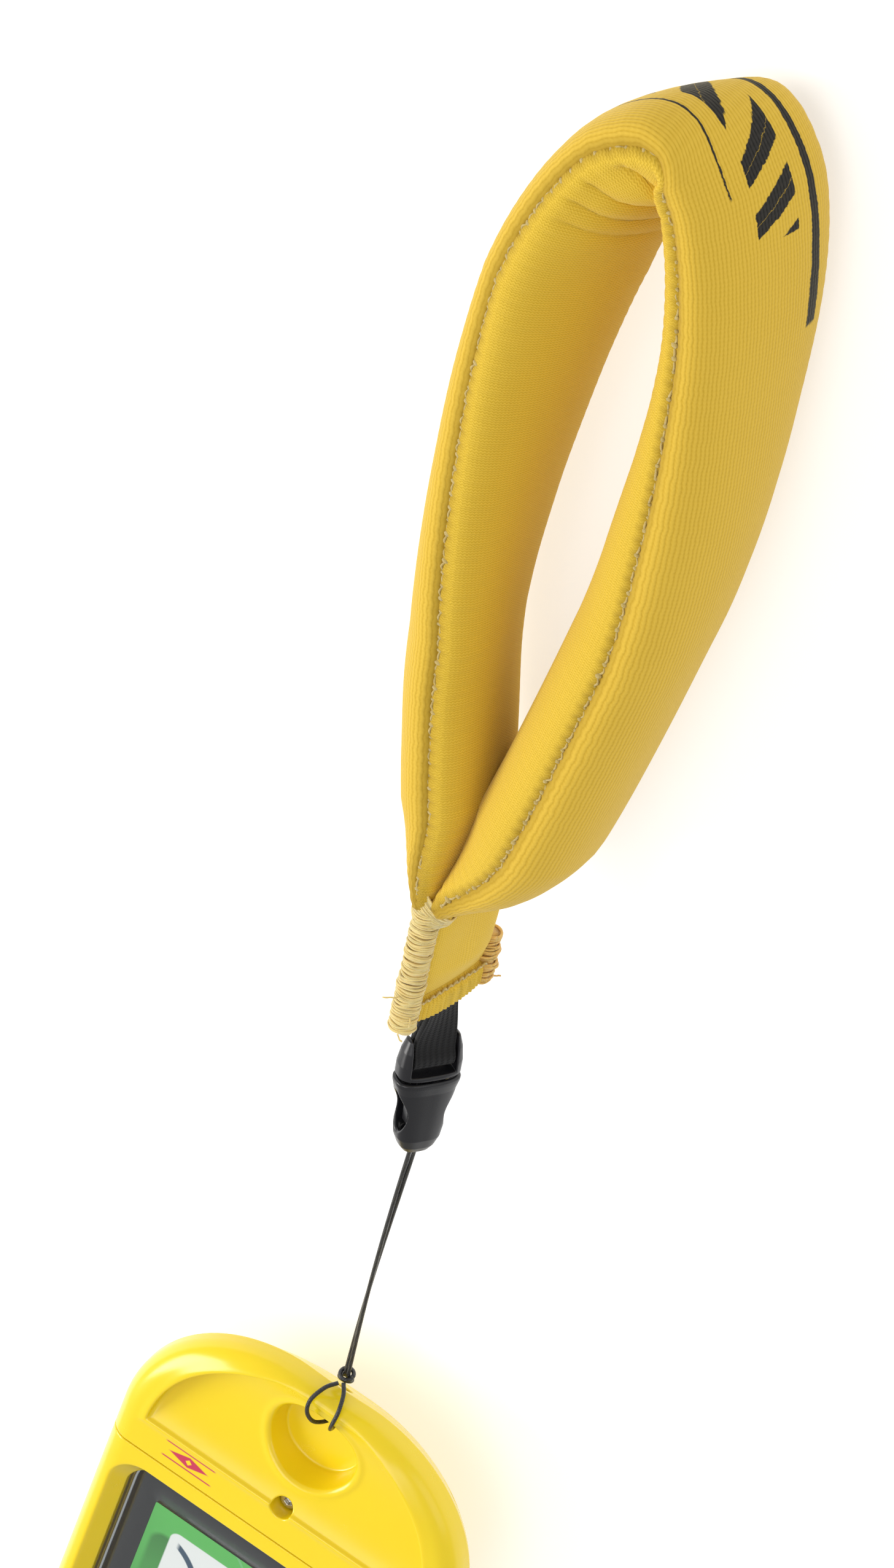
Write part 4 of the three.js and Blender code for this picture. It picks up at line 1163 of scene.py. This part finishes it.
def crease(v, below, place, slant, width, depth):
    """A sharp valley that starts under the upper seam and runs down the inner face. below is the distance
    from that seam."""
    valley = depth * np.exp(-np.abs(v - place - slant * below) / width)
    return valley * smoothstep(below, 0.3, 3.5) * (1 - smoothstep(below, 17, 30))


def detail_band(rings, v, turn):
    """Adds the sewn groove, the gathers beside it and the folds inside the bend."""
    centre, outward, up = band_axis(v)
    across = ((rings - centre[:, None, :]) * up[:, None, :]).sum(-1)
    from_seam = seam_distance(rings)
    inner = np.cos(turn)[None, :] < 0
    groove = 1.3 * np.exp(-from_seam / 0.65) + 0.5 * bell(from_seam, 2.2)
    gather = 0.2 * np.exp(-from_seam / 2.6) * np.sin(FULL_TURN * v / STITCH_PITCH)[:, None]
    gather = gather * np.where(inner, 1.6, 0.7)
    sink = np.sign(across) * (groove + np.abs(gather) * 0.5)
    bend = (v - BAND_LENGTH / 2)[:, None]
    below = BAND_HALF_WIDTH - across
    folds = sum(crease(bend, below, *fold) for fold in BEND_FOLDS)
    bulge = 4.6 * bell(bend - 2.0, 17.0) * smoothstep(below, 0.4, 8.0)
    push = np.where(inner, folds - bulge, 0.0) + gather * np.sign(np.cos(turn))[None, :]
    return rings - shift(up, sink) + shift(outward, push)


def build_seam(word, seam, before, after, v, side):
    """A zigzag of thread along a sewn edge, with a knot where each stitch goes through."""
    stitches = np.arange(3.0, BAND_LENGTH - 3.0, STITCH_PITCH / 2)

    def read(values):
        return np.stack([np.interp(stitches, v, values[:, axis]) for axis in range(3)], 1)

    across, lift = read(unit(after - before)), side * read(band_axis(v)[2])
    wobble = RNG.normal(0, 0.14, len(stitches))
    reach = np.where(np.arange(len(stitches)) % 2 == 0, 0.55, -0.5) + wobble
    line = read(seam) + across * reach[:, None] + lift * (1.5 + wobble[:, None])
    parts = [sweep(smooth_path(line, 0.3)[0], 0.2, 6)]
    for index in range(0, len(line), 2):
        parts.append(knot(line[index] + lift[index] * 0.05, 0.5 + RNG.normal(0, 0.06), across[index]))
    piece(f"edge_seam_{word}_stitches", join_parts(parts), "seam_thread", f"edge_seam_{word}", place=STRAP)


def knot(centre, size, along):
    """A small tight lump of thread, longer one way."""
    rings = []
    side = unit(np.cross(along, (0.13, 0.2, 0.97)))
    up = np.cross(side, along)
    turn = round_angles(8)
    for polar in np.linspace(0.25, np.pi - 0.25, 5):
        radius = size * math.sin(polar) * (1 + 0.12 * np.sin(3 * turn + RNG.uniform(0, 6)))
        rings.append(centre + along * size * 1.3 * math.cos(polar) + radius[:, None] * (
            side * np.cos(turn)[:, None] + up * 0.8 * np.sin(turn)[:, None]))
    return loft(rings)


# ---- Tail ----
def tail_centre(y):
    return TAIL_SHIFT * y / TAIL_LENGTH


def build_tail():
    """The flat foot of the strap: a padded face, and a ribbed roll where the webbing enters."""
    levels = np.linspace(0.3, TAIL_LENGTH + 1.0, 150)
    turn = round_angles(160)
    face = np.sign(np.cos(turn))
    rings = []
    for y in levels:
        roll = smoothstep(y, 0.2, 1.4) * (1 - smoothstep(y, 4.6, 5.8))
        pad = smoothstep(y, 5.2, 12.0)
        half = 1.45 + 1.25 * roll + 1.75 * pad - 0.6 * smoothstep(y, 20, 28)
        z = power(np.sin(turn), 0.85) * TAIL_HALF
        ribs = 0.24 * roll * np.cos(FULL_TURN * z / 1.05) * face
        dip = 0.55 * bell(y - HEM, 0.6) * face
        wave = 0.25 * pad * np.sin(z * 0.33 + y * 0.22) * face
        x = power(np.cos(turn), 0.75) * half + ribs - dip + wave + tail_centre(y)
        rings.append(np.column_stack([x, np.full(len(turn), y), z]))
    obj = piece("strap_tail_cover", loft(rings), "tail_knit", "strap_tail", place=TAIL)
    set_map(obj, np.sin(turn) * TAIL_HALF, levels)
    set_edge(obj, np.full(len(obj.data.vertices), 5.0))


def build_hem():
    parts = []
    for face in (1, -1):
        line = []
        for index, z in enumerate(np.arange(0.8 - TAIL_HALF, TAIL_HALF - 0.7, 0.8)):
            swing = 0.42 if index % 2 else -0.32
            x = tail_centre(HEM) + face * (1.95 + 0.1 * swing)
            line.append((x, HEM + swing + RNG.normal(0, 0.08), z))
        parts.append(sweep(smooth_path(line, 0.2)[0], 0.22, 7))
    piece("hem_stitches", join_parts(parts), "seam_thread", body="strap", place=TAIL)


def overcast(side, low, high, pitch, loose):
    """Loops of thread sewn over one long edge of the tail, uneven and close together, on a plain core."""
    turn = round_angles(20)
    middle = TAIL_HALF + 0.6
    core = [np.column_stack([tail_centre(y) + 2.15 * np.cos(turn), np.full(len(turn), y),
                             side * (middle + 1.75 * np.sin(turn))]) for y in np.linspace(low, high, 50)]
    parts = [loft(core)]
    turn = np.linspace(-0.3, FULL_TURN - 0.3, 26)
    for y in np.arange(low + 0.2, high, pitch):
        start = y + RNG.normal(0, 0.12)
        lean = 0.9 + RNG.normal(0, 0.35)
        wide = 2.35 + RNG.normal(0, 0.14) * loose
        deep = 2.0 + RNG.normal(0, 0.16) * loose
        along = start + lean * np.cos(turn) * 0.6 + 0.1 * np.sin(3 * turn + y)
        loop = [tail_centre(y) + wide * np.cos(turn), along, side * (middle + deep * np.sin(turn))]
        parts.append(sweep(np.column_stack(loop), 0.2 + RNG.uniform(0, 0.07), 6))
    return parts


def pinch_wrap():
    """Thread fanned round the foot of the loop, over both limbs, above the binding."""
    parts = []
    for index in range(22):
        rise = TAIL_LENGTH - 3.0 + index * 0.28
        lean = -0.2 + index * 0.16
        turn = np.pi * (np.linspace(0.15, 1.15, 26) if index % 2 else np.linspace(-0.1, 1.0, 26))
        wide = 3.4 + 0.05 * index + RNG.normal(0, 0.1)
        loop = np.column_stack([
            TAIL_SHIFT + wide * np.cos(turn), rise - lean * np.cos(turn) * 1.1 + RNG.normal(0, 0.1),
            TAIL_HALF - 1.2 + (3.6 - 0.03 * index) * np.sin(turn) + RNG.normal(0, 0.08)])
        parts.append(sweep(loop, 0.22, 6))
    return parts


def loose_ends(spots, length):
    parts = []
    for x, y, z in spots:
        heading = RNG.normal(0, 0.5, 3) + np.array([0.2, -0.8, 0.5 * np.sign(z)])
        path = [np.array([x, y, z], float)]
        for _ in range(7):
            heading = unit(heading + RNG.normal(0, 0.35, 3))
            path.append(path[-1] + heading * length / 7)
        parts.append(sweep(smooth_path(path, 0.25)[0], 0.16, 6))
    return parts


def build_bindings():
    edge = TAIL_HALF + 1.6
    upper = overcast(1, -0.6, TAIL_LENGTH - 0.5, 0.36, 1.0) + pinch_wrap()
    spots = [(0.4, -0.4, edge), (-0.6, -0.2, edge - 1), (-0.8, 8, edge + 1.6), (1.2, 4, edge)]
    upper += loose_ends(spots, 3.2)
    lower = overcast(-1, 0.2, 10.5, 0.5, 1.6)
    spots = [(1.0, 1.5, -edge), (0.8, 3, -edge - 1), (0.4, 0.6, -edge + 1), (1.2, 6, -edge)]
    lower += loose_ends(spots, 3.0)
    for word, parts, finish in (("upper", upper, "binding_thread"), ("lower", lower, "frayed_thread")):
        node = f"tail_binding_{word}"
        piece(node + "_threads", join_parts(parts), finish, node, place=TAIL)


# ---- Scene ----
def build_stage():
    low = min(corner[2] for corner in CAD_BOX) / MM - 0.3
    points = [(-4000, -4000, low), (4000, -4000, low), (4000, 4000, low), (-4000, 4000, low)]
    make_object("floor", points, [(0, 1, 2, 3)], floor_finish(), smooth=False)


def area_light(name, direction, distance, size, strength, tint=(1, 1, 1)):
    """A soft light that faces the strap's tail."""
    light = bpy.data.lights.new(name, "AREA")
    light.shape = "RECTANGLE"
    light.size, light.size_y = size
    light.energy = strength
    light.color = tint
    obj = link_object(name, light)
    target = Vector((-0.01, 0.17, 0.02))
    obj.location = target + Vector(direction).normalized() * distance
    obj.rotation_euler = (obj.location - target).to_track_quat("Z", "Y").to_euler()


def build_lights():
    area_light("key", (-0.81, -0.28, 0.62), 1.6, (0.9, 0.9), 19.0, (1.0, 0.985, 0.96))
    area_light("overhead", (0.05, 0.25, 1.0), 1.7, (1.2, 1.2), 10.0)
    area_light("fill", (0.9, 0.5, 0.45), 2.0, (1.4, 1.0), 4.0)
    world = bpy.data.worlds.new("studio")
    world.use_nodes = True
    background = world.node_tree.nodes["Background"]
    background.inputs["Color"].default_value = colour(1.0, 1.0, 1.0)
    background.inputs["Strength"].default_value = 0.5
    scene = bpy.context.scene
    scene.world = world
    scene.view_settings.view_transform = "Standard"
    scene.view_settings.look = "None"


def build_camera():
    """Looks back along the strap from above its far end, turned so that the unit is at the lower left."""
    azimuth, elevation, roll = (math.radians(a) for a in (CAMERA_AZIMUTH, CAMERA_ELEVATION, CAMERA_ROLL))
    level = math.cos(elevation)
    back = Vector((level * math.sin(azimuth), level * math.cos(azimuth), math.sin(elevation)))
    across = Vector((0, 0, 1)).cross(back).normalized()
    right = across * math.cos(roll) + back.cross(across) * math.sin(roll)
    camera = bpy.data.cameras.new("camera")
    camera.lens = 160
    camera.sensor_width = 36
    obj = link_object("camera", camera)
    turn = Matrix((right, back.cross(right), back)).transposed().to_4x4()
    obj.matrix_world = Matrix.Translation(Vector(CAMERA_TARGET) + back * CAMERA_DISTANCE) @ turn
    bpy.context.scene.camera = obj


for build in (build_housing, build_handset, build_hitch, build_cord, build_clip, build_webbing, build_band,
              build_tail, build_hem, build_bindings, build_stage, build_lights, build_camera):
    build()
